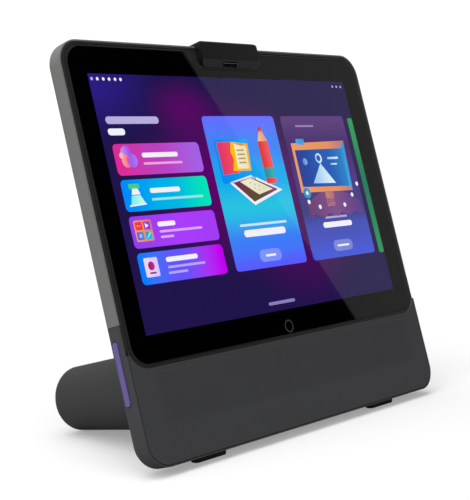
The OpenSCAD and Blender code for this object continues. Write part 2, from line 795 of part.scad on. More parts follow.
// Two switches under the ends of the key, each a case and a plunger
module key_switches() color([0.15, 0.15, 0.16]) slab() for (s = [-1, 1]) {
    v = -key_v + s * key_len / 3;
    x = key_back + key_flange_t;
    block(x + switch_gap, key_board_x, key_depth - switch_hw, key_depth + switch_hw,
        v - switch_hw, v + switch_hw);
    translate([x + plunger_gap, key_depth, v]) rotate([0, 90, 0])
        cylinder(r = plunger_r, h = switch_gap - plunger_gap);
}

// ---------------------------------------------------------------- pod and feet

// Everything in front of the slab's back face
module slab_cut() {
    translate([0, slab_y, slab_z]) rotate([-tilt, 0, 0]) block(-far, far, -far, back_w, -far, far);
}

module pod_shell() color([0.25, 0.25, 0.26]) difference() {
    union() {
        difference() {
            pod() pod_solid(0);
            pod() pod_solid(pod_wall);
        }
        intersection() {
            slab() for (x = pod_screw_x, s = [-1, 1])
                bar(x, root_v + s * pod_screw_v, back_w, back_w + 10, pod_screw[0] + 2.6);
            pod() pod_solid(pod_wall / 2);
        }
        intersection() {
            pod() for (s = [-1, 1]) translate([socket_x + s * 7.5, pod_len - 9, -far])
                cylinder(r = 2, h = far + socket_board_z - pcb_t);
            pod() pod_solid(pod_wall / 2);
        }
    }
    slab_cut();
    pod() socket_outline(pod_len - pod_wall - 1, far, 0);
    slab() for (x = pod_screw_x, s = [-1, 1])
        bar(x, root_v + s * pod_screw_v, 0, back_w + 8, pod_screw[0]);
    pod_foot_block();
}

// Space of the foot under the pod's far end
module pod_foot_block() {
    translate([0, slab_y + rear_y - pod_fillet - pod_foot_in, 0]) linear_extrude(pod_foot_t)
        pill(pod_foot_len / 2, pod_foot_hw);
}

module pod_foot() color([0.06, 0.06, 0.06]) pod_foot_block();

// Two rubber pads on the slab's lower back edge, flat on the table
module slab_foot() color([0.06, 0.06, 0.06]) difference() {
    slab_foot_block();
    slab() casing(0, side_w);
}

module slab_foot_block() {
    for (x = [-foot_x, foot_x])
        translate([x, slab_y + foot_v * sin(tilt) + foot_w * cos(tilt), 0])
            linear_extrude(foot_h + 1) pill(foot_len / 2, foot_hw);
}

// Tray that holds the four cells, its feet cut to the inside of the pod
module battery_tray() color([0.2, 0.2, 0.22]) pod() {
    y0 = cell_y[0] - cell_r;
    y1 = cell_y[1] + cell_r;
    block(-cell_len - tray_end, cell_len + tray_end, y0, y1, tray_z - tray_t, tray_z);
    for (s = [-1, 1]) translate([s * (cell_len + tray_end), 0, 0])
        block(-tray_t / 2, tray_t / 2, y0, y1, tray_z - tray_t, tray_lip);
    intersection() {
        pod_solid(pod_wall);
        for (x = [-cell_x, cell_x], y = [y0 + 3, y1 - 5])
            block(x - 8, x + 8, y, y + rib_t, -far, tray_z - tray_t / 2);
    }
}

module battery_cell(i, j) color([0.15, 0.35, 0.6]) pod()
    translate([i * cell_x - cell_len / 2, cell_y[j], 0]) rotate([0, 90, 0]) {
        cylinder(r = cell_r, h = cell_len - 0.8);
        translate([0, 0, cell_len - 0.8]) cylinder(r = 3, h = 0.8);
    }
module battery_cell_1() battery_cell(-1, 0);
module battery_cell_2() battery_cell(1, 0);
module battery_cell_3() battery_cell(-1, 1);
module battery_cell_4() battery_cell(1, 1);

// Ribbon of wires from the tray, through the housing's round hole, up to the main board
module battery_lead() color([0.6, 0.1, 0.1]) {
    y0 = cell_y[0] - cell_r;
    x0 = lead_x - lead_hw;
    x1 = lead_x + lead_hw;
    board_end = board_v - board_h / 2;
    pod() {
        block(x0, x1, lead_w - back_w - lead_t, y0 - 2, -lead_t, lead_t);
        block(x0, x1, y0 - 3, y0 - 2, tray_z - tray_t, lead_t);
        block(x0, x1, y0 - 3, y0, tray_z - tray_t, tray_z - tray_t / 2);
    }
    slab() {
        block(x0, x1, lead_w, lead_w + lead_t, root_v - 3 * lead_t, board_end + 4);
        block(x0, x1, board_w1, lead_w + lead_t / 2, board_end + 1, board_end + 4);
    }
}

// ---------------------------------------------------------------- power socket

module socket_outline(y0, y1, t) {
    translate([socket_x, 0, 0]) deep(y0, y1)
        pill(socket_w / 2 + socket_shell + t, socket_h / 2 + socket_shell + t);
}

// Steel shell of the socket, open at the pod's far end, with its contact tongue
module power_socket() color([0.7, 0.7, 0.72]) pod() {
    y0 = pod_len - socket_depth;
    difference() {
        socket_outline(y0, pod_len, 0);
        socket_outline(y0 + 0.8, far, -socket_shell);
    }
    block(socket_x - 3, socket_x + 3, y0 + 0.4, pod_len - 1.2, -0.35, 0.35);
}

module socket_board() color([0.05, 0.3, 0.15]) pod()
    block(socket_x - 10, socket_x + 10, pod_len - 14, pod_len - pod_wall - gap,
        socket_board_z - pcb_t, socket_board_z);

// ---------------------------------------------------------------- camera hood

// Side view of the hood: slanted lip, face, crown over the slab and rear leg
module hood_profile() {
    polygon([
        [hood_w0, body_v1 - hood_drop],
        [hood_w0, hood_v1 - 1],
        [hood_w0 + 1, hood_v1],
        [hood_w1 - 1.2, hood_v1],
        [hood_w1, hood_v1 - 1.2],
        [hood_w1, body_v1 - hood_leg],
        [back_w + hood_gap, body_v1 - hood_leg],
        [back_w + hood_gap, body_v1 + hood_gap],
        [hood_face, body_v1 + hood_gap],
        [hood_face, body_v1 - hood_drop - hood_lip]]);
}

// Front view of the hood, with wider corners at the foot of its lip
module hood_outline() {
    v0 = body_v1 - hood_drop - hood_lip;
    outline(hood_w / 2, v0 + hood_foot_r, hood_v1, hood_top_r);
    translate([-hood_w / 2, v0 + hood_foot_r]) square([hood_w, hood_top_r]);
    translate([-hood_w / 2 + hood_foot_r, v0]) square([hood_w - 2 * hood_foot_r, hood_foot_r]);
    for (s = [-1, 1]) translate([s * (hood_w / 2 - hood_foot_r), v0 + hood_foot_r])
        circle(hood_foot_r);
}

module hood_shell() color([0.1, 0.1, 0.105]) slab() difference() {
    intersection() {
        translate([-hood_w / 2, 0, 0]) rotate([90, 0, 90]) linear_extrude(hood_w) hood_profile();
        union() {
            deep(-far, hood_face + 2) hood_outline();
            plate(hood_w / 2, body_v1 - hood_leg, hood_v1, hood_face, far, hood_top_r);
        }
    }
    block(-mirror_hw, mirror_hw, hood_w0 + hood_skin, back_w,
        body_v1 - hood_drop - hood_lip - 1, body_v1 - 1.5);
}

// Mirror at 45 degrees across the camera's view
module hood_mirror() color([0.8, 0.82, 0.85]) slab()
    translate([0, mirror_w, camera_v - mirror_len / 2]) rotate([-45, 0, 0])
        block(-mirror_hw, mirror_hw, 0, mirror_t, 0, mirror_len);

// Soft strip under the crown that the hood stands on
module hood_pad() color([0.06, 0.06, 0.06]) slab()
    block(-hood_w / 2 + 5, hood_w / 2 - 5, pad_w0, pad_w1, body_v1 + seat_gap,
        body_v1 + hood_gap);

// ---------------------------------------------------------------- screws

module frame_screws() color([0.6, 0.6, 0.62]) slab()
    for (x = [-frame_screw_x, frame_screw_x], v = concat(cover_screw_v, [housing_screw_v]))
        screw(x, v, frame_head_w, inner_w - frame_head_w - 1, small_screw, 1);

module board_screws() color([0.6, 0.6, 0.62]) slab()
    for (x = [-1, 1], v = [-1, 1]) board_corner(x, v)
        screw(0, 0, board_w1, board_w1 - mid_w - 0.4, small_screw, -1);

module panel_screws() color([0.2, 0.2, 0.2]) slab()
    for (x = panel_screw_x)
        screw(x, panel_screw_v, back_w - small_screw[2] - 0.1, 7, small_screw, -1);

module pod_screws() color([0.6, 0.6, 0.62]) slab()
    for (x = pod_screw_x, s = [-1, 1])
        screw(x, root_v + s * pod_screw_v, inner_w, 9, pod_screw, 1);

rear_cover();
lower_housing();
front_panel();
grille();
bezel_ring();
camera_tab();
cover_glass();
home_ring();
glass_bond();
lcd_panel();
backlight();
display_flex();
mid_frame();
main_board();
processor();
shield_can();
heat_spreader();
antenna_left();
antenna_right();
camera_module();
camera_lens();
microphones();
speaker_gasket_left();
speaker_gasket_right();
speaker_frame_left();
speaker_frame_right();
speaker_cone_left();
speaker_cone_right();
speaker_magnet_left();
speaker_magnet_right();
side_key();
key_bracket();
key_board();
key_switches();
pod_shell();
battery_tray();
battery_cell_1();
battery_cell_2();
battery_cell_3();
battery_cell_4();
battery_lead();
power_socket();
socket_board();
slab_foot();
pod_foot();
hood_shell();
hood_mirror();
hood_pad();
frame_screws();
board_screws();
panel_screws();
pod_screws();
speaker_screws();
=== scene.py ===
"""Looks of a tabletop smart display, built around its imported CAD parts."""

import json
import math

import bmesh
import bpy
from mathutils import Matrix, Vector

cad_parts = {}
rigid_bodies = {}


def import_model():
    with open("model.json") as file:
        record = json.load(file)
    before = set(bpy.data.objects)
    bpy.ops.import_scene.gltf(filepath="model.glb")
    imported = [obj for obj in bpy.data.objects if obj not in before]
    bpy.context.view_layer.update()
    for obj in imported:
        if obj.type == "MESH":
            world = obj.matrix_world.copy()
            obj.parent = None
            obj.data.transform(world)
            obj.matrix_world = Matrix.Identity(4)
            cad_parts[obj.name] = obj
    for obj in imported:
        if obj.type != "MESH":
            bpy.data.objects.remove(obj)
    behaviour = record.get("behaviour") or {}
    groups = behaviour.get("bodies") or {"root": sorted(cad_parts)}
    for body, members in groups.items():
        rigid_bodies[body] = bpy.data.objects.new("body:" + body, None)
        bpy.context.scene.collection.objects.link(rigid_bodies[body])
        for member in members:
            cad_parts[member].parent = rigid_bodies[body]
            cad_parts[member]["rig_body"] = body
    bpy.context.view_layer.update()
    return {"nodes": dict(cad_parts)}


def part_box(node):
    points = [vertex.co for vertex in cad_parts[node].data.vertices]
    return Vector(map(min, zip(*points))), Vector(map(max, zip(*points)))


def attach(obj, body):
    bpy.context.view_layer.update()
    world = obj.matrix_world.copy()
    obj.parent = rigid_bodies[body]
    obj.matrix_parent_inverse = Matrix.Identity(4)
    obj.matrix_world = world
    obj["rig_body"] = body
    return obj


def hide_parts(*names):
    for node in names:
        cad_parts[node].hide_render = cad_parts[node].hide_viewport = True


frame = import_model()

bl_info = {
    "name": "Smart display",
    "version": (1, 0, 0),
    "blender": (4, 5, 0),
    "location": "View3D > Sidebar > Smart display",
    "description": "Builds the finishes, picture, grille and studio of a tabletop smart display",
    "category": "Add Mesh",
}

MM = 0.001
CORNER_STEPS = 8  # faces round a quarter turn on the picture's shapes
ROUNDED_ANGLE = math.radians(30)  # edges that turn by more than this are rounded
HOLE_SIDES = 8  # sides of a hole in the grille
PICTURE_STRENGTH = 1.04  # brightness of the lit picture


# ---------------------------------------------------------------- sizes and colours


class DisplaySizes(bpy.types.PropertyGroup):
    """Sizes that follow the CAD part, and sizes of the visual detail."""

    tilt: bpy.props.FloatProperty(
        name="Tilt", description="How far the screen leans back",
        default=math.radians(17.6), min=0.0, max=math.radians(60), subtype="ANGLE",
    )
    lcd_thickness: bpy.props.FloatProperty(
        name="LCD thickness", description="Thickness of the LCD panel in the CAD part",
        default=1.0 * MM, subtype="DISTANCE", unit="LENGTH",
    )
    screen_width: bpy.props.FloatProperty(
        name="Screen width", description="Lit width of the picture",
        default=217 * MM, subtype="DISTANCE", unit="LENGTH",
    )
    screen_height: bpy.props.FloatProperty(
        name="Screen height", description="Lit height of the picture",
        default=136 * MM, subtype="DISTANCE", unit="LENGTH",
    )
    edge_round: bpy.props.FloatProperty(
        name="Moulded edge", description="Radius on the edges of the moulded parts",
        default=0.35 * MM, min=0.05 * MM, max=1 * MM, subtype="DISTANCE", unit="LENGTH",
    )
    glass_round: bpy.props.FloatProperty(
        name="Glass edge", description="Radius ground on the edge of the cover glass",
        default=0.25 * MM, min=0.05 * MM, max=0.4 * MM, subtype="DISTANCE", unit="LENGTH",
    )
    hole_pitch: bpy.props.FloatProperty(
        name="Grille pitch", description="Distance between two holes of the grille",
        default=1.3 * MM, min=1 * MM, max=6 * MM, subtype="DISTANCE", unit="LENGTH",
    )
    hole_share: bpy.props.FloatProperty(
        name="Grille opening", description="Width of a hole as a share of the pitch",
        default=0.32, min=0.2, max=0.8, subtype="FACTOR",
    )
    grille_seam: bpy.props.FloatProperty(
        name="Grille seam", description="Gap left between the grille and its recess",
        default=0.04 * MM, min=0.0, max=0.3 * MM, subtype="DISTANCE", unit="LENGTH",
    )
    grille_gap: bpy.props.FloatProperty(
        name="Grille gap", description="The same gap in the CAD part",
        default=0.2 * MM, min=0.0, max=0.5 * MM, subtype="DISTANCE", unit="LENGTH",
    )
    grille_frame: bpy.props.FloatProperty(
        name="Grille frame", description="Plain edge round the perforated field",
        default=2.0 * MM, min=0.5 * MM, max=6 * MM, subtype="DISTANCE", unit="LENGTH",
    )
    grille_corner: bpy.props.FloatProperty(
        name="Grille corner", description="Corner radius of the grille",
        default=1.8 * MM, min=0.2 * MM, max=6 * MM, subtype="DISTANCE", unit="LENGTH",
    )


def colour(name, description, default):
    """A colour property that holds an sRGB value."""
    return bpy.props.StringProperty(name=name, description=description, default=default)


class DisplayColours(bpy.types.PropertyGroup):
    """Finish colours as sRGB hex values."""

    cover: colour("Back cover", "Light grey ABS of the back cover", "#7a7a78")
    housing: colour("Housing", "Charcoal ABS of the lower housing", "#3f4042")
    panel: colour("Front panel", "Charcoal ABS of the panel under the glass", "#414244")
    grille: colour("Grille", "Charcoal ABS of the grille", "#3f4042")
    ring: colour("Ring", "Satin ring round the glass", "#2c2c2e")
    hood: colour("Hood", "Black hood over the camera", "#08080a")
    pod: colour("Pod", "Charcoal ABS of the rear pod", "#373738")
    key: colour("Key", "Purple rocker key", "#7260a6")
    floor: colour("Floor", "Pale studio floor", "#ffffff")


# ---------------------------------------------------------------- helpers


def linear(hex_value):
    """sRGB hex to a linear RGBA colour."""
    channels = [int(hex_value[i : i + 2], 16) / 255 for i in (1, 3, 5)]
    return tuple(
        c / 12.92 if c <= 0.04045 else ((c + 0.055) / 1.055) ** 2.4 for c in channels
    ) + (1.0,)


def sizes():
    return bpy.context.scene.display_sizes


def colours():
    return bpy.context.scene.display_colours


def axes():
    """Unit vectors across, back through and up the slab."""
    tilt = sizes().tilt
    return (
        Vector((1, 0, 0)),
        Vector((0, math.cos(tilt), -math.sin(tilt))),
        Vector((0, math.sin(tilt), math.cos(tilt))),
    )


def slab_origin():
    """Centre of the picture on the LCD's front."""
    low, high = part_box("lcd_panel")
    return (low + high) / 2 - axes()[1] * (sizes().lcd_thickness / 2)


def on_slab(u, w, v):
    """Row-frame point from slab coordinates in millimetres."""
    across, back, up = axes()
    return slab_origin() + (across * u + back * w + up * v) * MM


def slab_levels(node):
    """Lowest and highest u, w and v of a CAD node, in millimetres."""
    origin = slab_origin()
    points = [vertex.co - origin for vertex in frame["nodes"][node].data.vertices]
    return [
        (min(p.dot(a) for p in points) / MM, max(p.dot(a) for p in points) / MM)
        for a in axes()
    ]


def add_object(name, mesh):
    piece = bpy.data.objects.new(name, mesh)
    bpy.context.scene.collection.objects.link(piece)
    return piece


def put(tree, kind, inputs=None, **settings):
    """Adds one node. An input is a value, or the socket that feeds it."""
    made = tree.nodes.new(kind)
    for key, value in settings.items():
        setattr(made, key, value)
    for key, value in (inputs or {}).items():
        if isinstance(value, bpy.types.NodeSocket):
            tree.links.new(value, made.inputs[key])
        else:
            made.inputs[key].default_value = value
    return made


def blank(name):
    """A material with an empty tree, and its output node."""
    material = bpy.data.materials.get(name) or bpy.data.materials.new(name)
    material.use_nodes = True
    material.node_tree.nodes.clear()
    return material, material.node_tree, put(material.node_tree, "ShaderNodeOutputMaterial")


def rounded(u0, u1, v0, v1, radius):
    """Corner points of a rounded rectangle, anticlockwise."""
    points = []
    for cu, cv, start in (
        (u1 - radius, v0 + radius, -90),
        (u1 - radius, v1 - radius, 0),
        (u0 + radius, v1 - radius, 90),
        (u0 + radius, v0 + radius, 180),
    ):
        for step in range(CORNER_STEPS + 1):
            a = math.radians(start + 90 * step / CORNER_STEPS)
            points.append((cu + radius * math.cos(a), cv + radius * math.sin(a)))
    return points


def disc(u, v, radius, count=24):
    """Points of a circle, anticlockwise."""
    turn = 2 * math.pi / count
    return [(u + radius * math.cos(i * turn), v + radius * math.sin(i * turn)) for i in range(count)]


# ---------------------------------------------------------------- finishes


def moulded_abs(name, hex_value, roughness, grain=0.45, depth=0.012, ior=1.53, coat=0.0):
    """ABS, injection moulded against a spark-eroded tool: an even matt skin whose fine pits
    break up the highlight. The real pits are about 0.15 mm, drawn as `grain` so that they show."""
    material, tree, output = blank(name)
    place = put(tree, "ShaderNodeTexCoord").outputs["Object"]
    pits = put(
        tree, "ShaderNodeTexNoise", {"Vector": place, "Scale": 1 / (grain * MM), "Detail": 3.0}
    )
    flow = put(tree, "ShaderNodeTexNoise", {"Vector": place, "Scale": 1 / (38 * MM), "Detail": 2.0})
    base = linear(hex_value)
    tone = put(
        tree, "ShaderNodeMix",
        {"Factor": flow.outputs["Fac"], "A": tuple(c * 0.94 for c in base[:3]) + (1,),
         "B": tuple(min(1, c * 1.06) for c in base[:3]) + (1,)},
        data_type="RGBA",
    )
    speckle = put(
        tree, "ShaderNodeMapRange",
        {"Value": pits.outputs["Fac"], "From Min": 0.3, "From Max": 0.7,
         "To Min": roughness - 0.06, "To Max": roughness + 0.06},
    )
    bump = put(
        tree, "ShaderNodeBump",
        {"Height": pits.outputs["Fac"], "Strength": 0.6, "Distance": depth * MM},
    )
    skin = put(
        tree, "ShaderNodeBsdfPrincipled",
        {"Base Color": tone.outputs["Result"], "Roughness": speckle.outputs["Result"],
         "Normal": bump.outputs["Normal"], "IOR": ior, "Coat Weight": coat, "Coat Roughness": 0.25},
    )
    tree.links.new(skin.outputs["BSDF"], output.inputs["Surface"])
    return material


def rubber(name, hex_value):
    """Silicone rubber, compression moulded: very matt, with a soft bloom at low angles."""
    material, tree, output = blank(name)
    place = put(tree, "ShaderNodeTexCoord").outputs["Object"]
    bloom = put(tree, "ShaderNodeTexNoise", {"Vector": place, "Scale": 1 / (6 * MM), "Detail": 4.0})
    base = linear(hex_value)
    tone = put(
        tree, "ShaderNodeMix",
        {"Factor": bloom.outputs["Fac"], "A": base, "B": tuple(c * 1.5 for c in base[:3]) + (1,)},
        data_type="RGBA",
    )
    grain = put(tree, "ShaderNodeTexNoise", {"Vector": place, "Scale": 1 / (0.5 * MM)})
    bump = put(
        tree, "ShaderNodeBump",
        {"Height": grain.outputs["Fac"], "Strength": 0.5, "Distance": 0.015 * MM},
    )
    skin = put(
        tree, "ShaderNodeBsdfPrincipled",
        {"Base Color": tone.outputs["Result"], "Roughness": 0.82, "IOR": 1.42,
         "Sheen Weight": 0.15, "Normal": bump.outputs["Normal"]},
    )
    tree.links.new(skin.outputs["BSDF"], output.inputs["Surface"])
    return material


def worked_metal(name, hex_value, roughness, streak=12.0):
    """Rolled or cast metal, plated: fine lines left along the rolling direction stretch the glint."""
    material, tree, output = blank(name)
    place = put(tree, "ShaderNodeTexCoord").outputs["Object"]
    along = put(tree, "ShaderNodeMapping", {"Vector": place, "Scale": (1.0, streak, streak)})
    lines = put(
        tree, "ShaderNodeTexNoise",
        {"Vector": along.outputs["Vector"], "Scale": 1 / (4 * MM), "Detail": 4.0},
    )
    gloss = put(
        tree, "ShaderNodeMapRange",
        {"Value": lines.outputs["Fac"], "To Min": roughness * 0.7, "To Max": roughness * 1.35},
    )
    skin = put(
        tree, "ShaderNodeBsdfPrincipled",
        {"Base Color": linear(hex_value), "Metallic": 1.0, "Roughness": gloss.outputs["Result"]},
    )
    tree.links.new(skin.outputs["BSDF"], output.inputs["Surface"])
    return material


def solder_mask(name, hex_value):
    """FR4 board under a sprayed solder mask: glossy, with the copper runs showing as lighter lines."""
    material, tree, output = blank(name)
    place = put(tree, "ShaderNodeTexCoord").outputs["Object"]
    runs = put(
        tree, "ShaderNodeTexVoronoi", {"Vector": place, "Scale": 1 / (3 * MM)},
        distance="MANHATTAN", feature="F1",
    )
    edge = put(
        tree, "ShaderNodeMapRange",
        {"Value": runs.outputs["Distance"], "From Min": 0.35, "From Max": 0.42,
         "To Min": 0.0, "To Max": 1.0},
    )
    base = linear(hex_value)
    tone = put(
        tree, "ShaderNodeMix",
        {"Factor": edge.outputs["Result"], "A": base, "B": tuple(c * 1.7 for c in base[:3]) + (1,)},
        data_type="RGBA",
    )
    skin = put(
        tree, "ShaderNodeBsdfPrincipled",
        {"Base Color": tone.outputs["Result"], "Roughness": 0.35, "IOR": 1.5, "Coat Weight": 0.4,
         "Coat Roughness": 0.1},
    )
    tree.links.new(skin.outputs["BSDF"], output.inputs["Surface"])
    return material


def shrink_film(name, hex_value):
    """PVC film shrunk over the battery cells: satin, pulled into faint rings."""
    material, tree, output = blank(name)
    place = put(tree, "ShaderNodeTexCoord").outputs["Object"]
    rings = put(
        tree, "ShaderNodeTexWave",
        {"Vector": place, "Scale": 1 / (14 * MM), "Distortion": 2.0, "Detail": 2.0},
        bands_direction="X",
    )
    base = linear(hex_value)
    tone = put(
        tree, "ShaderNodeMix",
        {"Factor": rings.outputs["Fac"], "A": base,
         "B": tuple(min(1, c * 1.25) for c in base[:3]) + (1,)},
        data_type="RGBA",
    )
    skin = put(
        tree, "ShaderNodeBsdfPrincipled",
        {"Base Color": tone.outputs["Result"], "Roughness": 0.38, "IOR": 1.53},
    )
    tree.links.new(skin.outputs["BSDF"], output.inputs["Surface"])
    return material


def printed_glass(name):
    """Soda-lime cover glass, ground edge, black ink printed behind its border: a deep gloss
    that hides what is under it, round a clear window."""
    material, tree, output = blank(name)
    place = put(tree, "ShaderNodeTexCoord").outputs["Object"]
    origin = slab_origin()
    centred = put(
        tree, "ShaderNodeVectorMath", {0: place, 1: tuple(origin)}, operation="SUBTRACT"
    ).outputs["Vector"]
    window = None
    for axis, half in ((axes()[0], sizes().screen_width / 2), (axes()[2], sizes().screen_height / 2)):
        reach = put(
            tree, "ShaderNodeVectorMath", {0: centred, 1: tuple(axis)}, operation="DOT_PRODUCT"
        ).outputs["Value"]
        size = put(tree, "ShaderNodeMath", {0: reach}, operation="ABSOLUTE").outputs[0]
        inside = put(tree, "ShaderNodeMath", {0: size, 1: half}, operation="LESS_THAN").outputs[0]
        window = inside if window is None else put(
            tree, "ShaderNodeMath", {0: window, 1: inside}, operation="MULTIPLY"
        ).outputs[0]
    smear = put(tree, "ShaderNodeTexNoise", {"Vector": place, "Scale": 1 / (60 * MM), "Detail": 3.0})
    wiped = put(
        tree, "ShaderNodeMapRange", {"Value": smear.outputs["Fac"], "To Min": 0.015, "To Max": 0.035}
    )
    ink = put(
        tree, "ShaderNodeBsdfPrincipled",
        {"Base Color": linear("#020203"), "Roughness": wiped.outputs["Result"], "IOR": 1.5},
    )
    gloss = put(
        tree, "ShaderNodeBsdfGlossy", {"Color": (1, 1, 1, 1), "Roughness": wiped.outputs["Result"]}
    )
    clear = put(tree, "ShaderNodeBsdfTransparent", {"Color": (1, 1, 1, 1)})
    shine = put(tree, "ShaderNodeFresnel", {"IOR": 1.5})
    pane = put(
        tree, "ShaderNodeMixShader",
        {0: shine.outputs["Fac"], 1: clear.outputs["BSDF"], 2: gloss.outputs["BSDF"]},
    )
    whole = put(
        tree, "ShaderNodeMixShader", {0: window, 1: ink.outputs["BSDF"], 2: pane.outputs["Shader"]}
    )
    tree.links.new(whole.outputs["Shader"], output.inputs["Surface"])
    return material


def clear_back(name):
    """Back of the cover glass, bonded to the picture: no gloss of its own."""
    material, tree, output = blank(name)
    place = put(tree, "ShaderNodeTexCoord").outputs["Object"]
    haze = put(tree, "ShaderNodeTexNoise", {"Vector": place, "Scale": 1 / (50 * MM)})
    tint = put(
        tree, "ShaderNodeMix",
        {"Factor": haze.outputs["Fac"], "A": (0.99, 0.99, 0.99, 1), "B": (1, 1, 1, 1)},
        data_type="RGBA",
    )
    clear = put(tree, "ShaderNodeBsdfTransparent", {"Color": tint.outputs["Result"]})
    tree.links.new(clear.outputs["BSDF"], output.inputs["Surface"])
    return material


def lit_picture(name, stops, down=False):
    """Backlit liquid crystal: light that comes from the picture itself, in a ramp over the
    shape's own UV map, with the backlight's slight clouding. The 0.17 mm cells are too fine to show."""
    material, tree, output = blank(name)
    place = put(tree, "ShaderNodeTexCoord")
    split = put(tree, "ShaderNodeSeparateXYZ", {0: place.outputs["UV"]})
    ramp = put(tree, "ShaderNodeValToRGB", {"Fac": split.outputs["Y" if down else "X"]})
    if len(stops) == 1:
        stops = [stops[0], (1.0, stops[0][1])]
    band = ramp.color_ramp
    band.interpolation = "EASE"
    while len(band.elements) < len(stops):
        band.elements.new(0.5)
    for element, (position, hex_value) in zip(band.elements, stops):
        element.position = position
        element.color = linear(hex_value)
    cloud = put(
        tree, "ShaderNodeTexNoise", {"Vector": place.outputs["Object"], "Scale": 1 / (45 * MM)}
    )
    level = put(
        tree, "ShaderNodeMapRange",
        {"Value": cloud.outputs["Fac"], "To Min": PICTURE_STRENGTH * 0.97,
         "To Max": PICTURE_STRENGTH * 1.03},
    )
    light = put(
        tree, "ShaderNodeEmission",
        {"Color": ramp.outputs["Color"], "Strength": level.outputs["Result"]},
    )
    tree.links.new(light.outputs["Emission"], output.inputs["Surface"])
    return material


def lit(name, *shades):
    """A lit material that runs evenly through its shades, from left to right."""
    last = max(1, len(shades) - 1)
    return lit_picture(name, [(i / last, shade) for i, shade in enumerate(shades)])


def wallpaper(name):
    """Backlit picture behind the cards: dark indigo with a blue corner and a magenta glow."""
    material, tree, output = blank(name)
    place = put(tree, "ShaderNodeTexCoord")
    shown = put(tree, "ShaderNodeRGB").outputs[0]
    shown.default_value = linear("#21154c")
    for centre, reach, hex_value, share in (
        ((0.0, 0.97), 0.26, "#2f1f90", 0.8),
        ((0.45, 0.55), 0.42, "#640070", 1.0),
        ((0.30, 0.86), 0.16, "#5e0668", 0.75),
        ((0.66, 0.25), 0.30, "#560463", 0.6),
        ((0.95, 0.05), 0.30, "#24194f", 0.9),
    ):
        away = put(
            tree, "ShaderNodeVectorMath",
            {0: place.outputs["UV"], 1: (centre[0], centre[1], 0)}, operation="DISTANCE",
        ).outputs["Value"]
        near = put(
            tree, "ShaderNodeMapRange",
            {"Value": away, "From Min": 0.0, "From Max": reach, "To Min": share, "To Max": 0.0},
            interpolation_type="SMOOTHSTEP",
        ).outputs["Result"]
        shown = put(
            tree, "ShaderNodeMix", {"Factor": near, "A": shown, "B": linear(hex_value)},
            data_type="RGBA",
        ).outputs["Result"]
    light = put(tree, "ShaderNodeEmission", {"Color": shown, "Strength": PICTURE_STRENGTH})
    tree.links.new(light.outputs["Emission"], output.inputs["Surface"])
    return material


def studio_floor(name, hex_value):
    """Pale vinyl sweep: matt near the object, where it takes the soft shadow, and burnt out to
    white further off. It throws back only part of its light, so that undersides stay dark."""
    material, tree, output = blank(name)
    place = put(tree, "ShaderNodeTexCoord").outputs["Object"]
    away = put(tree, "ShaderNodeVectorMath", {0: place}, operation="LENGTH").outputs["Value"]
    fade = put(
        tree, "ShaderNodeMapRange",
        {"Value": away, "From Min": 0.14, "From Max": 0.36, "To Min": 0.3, "To Max": 1.0},
        interpolation_type="SMOOTHSTEP",
    )
    sweep = put(tree, "ShaderNodeBsdfDiffuse", {"Color": linear(hex_value)})
    glow = put(tree, "ShaderNodeEmission", {"Color": (1, 1, 1, 1), "Strength": 1.02})
    both = put(
        tree, "ShaderNodeMixShader",
        {0: fade.outputs["Result"], 1: sweep.outputs["BSDF"], 2: glow.outputs["Emission"]},
    )
    path = put(tree, "ShaderNodeLightPath")
    thrown = put(tree, "ShaderNodeBsdfDiffuse", {"Color": (0.35, 0.35, 0.35, 1)})
    whole = put(
        tree, "ShaderNodeMixShader",
        {0: path.outputs["Is Camera Ray"], 1: thrown.outputs["BSDF"], 2: both.outputs["Shader"]},
    )
    tree.links.new(whole.outputs["Shader"], output.inputs["Surface"])
    return material


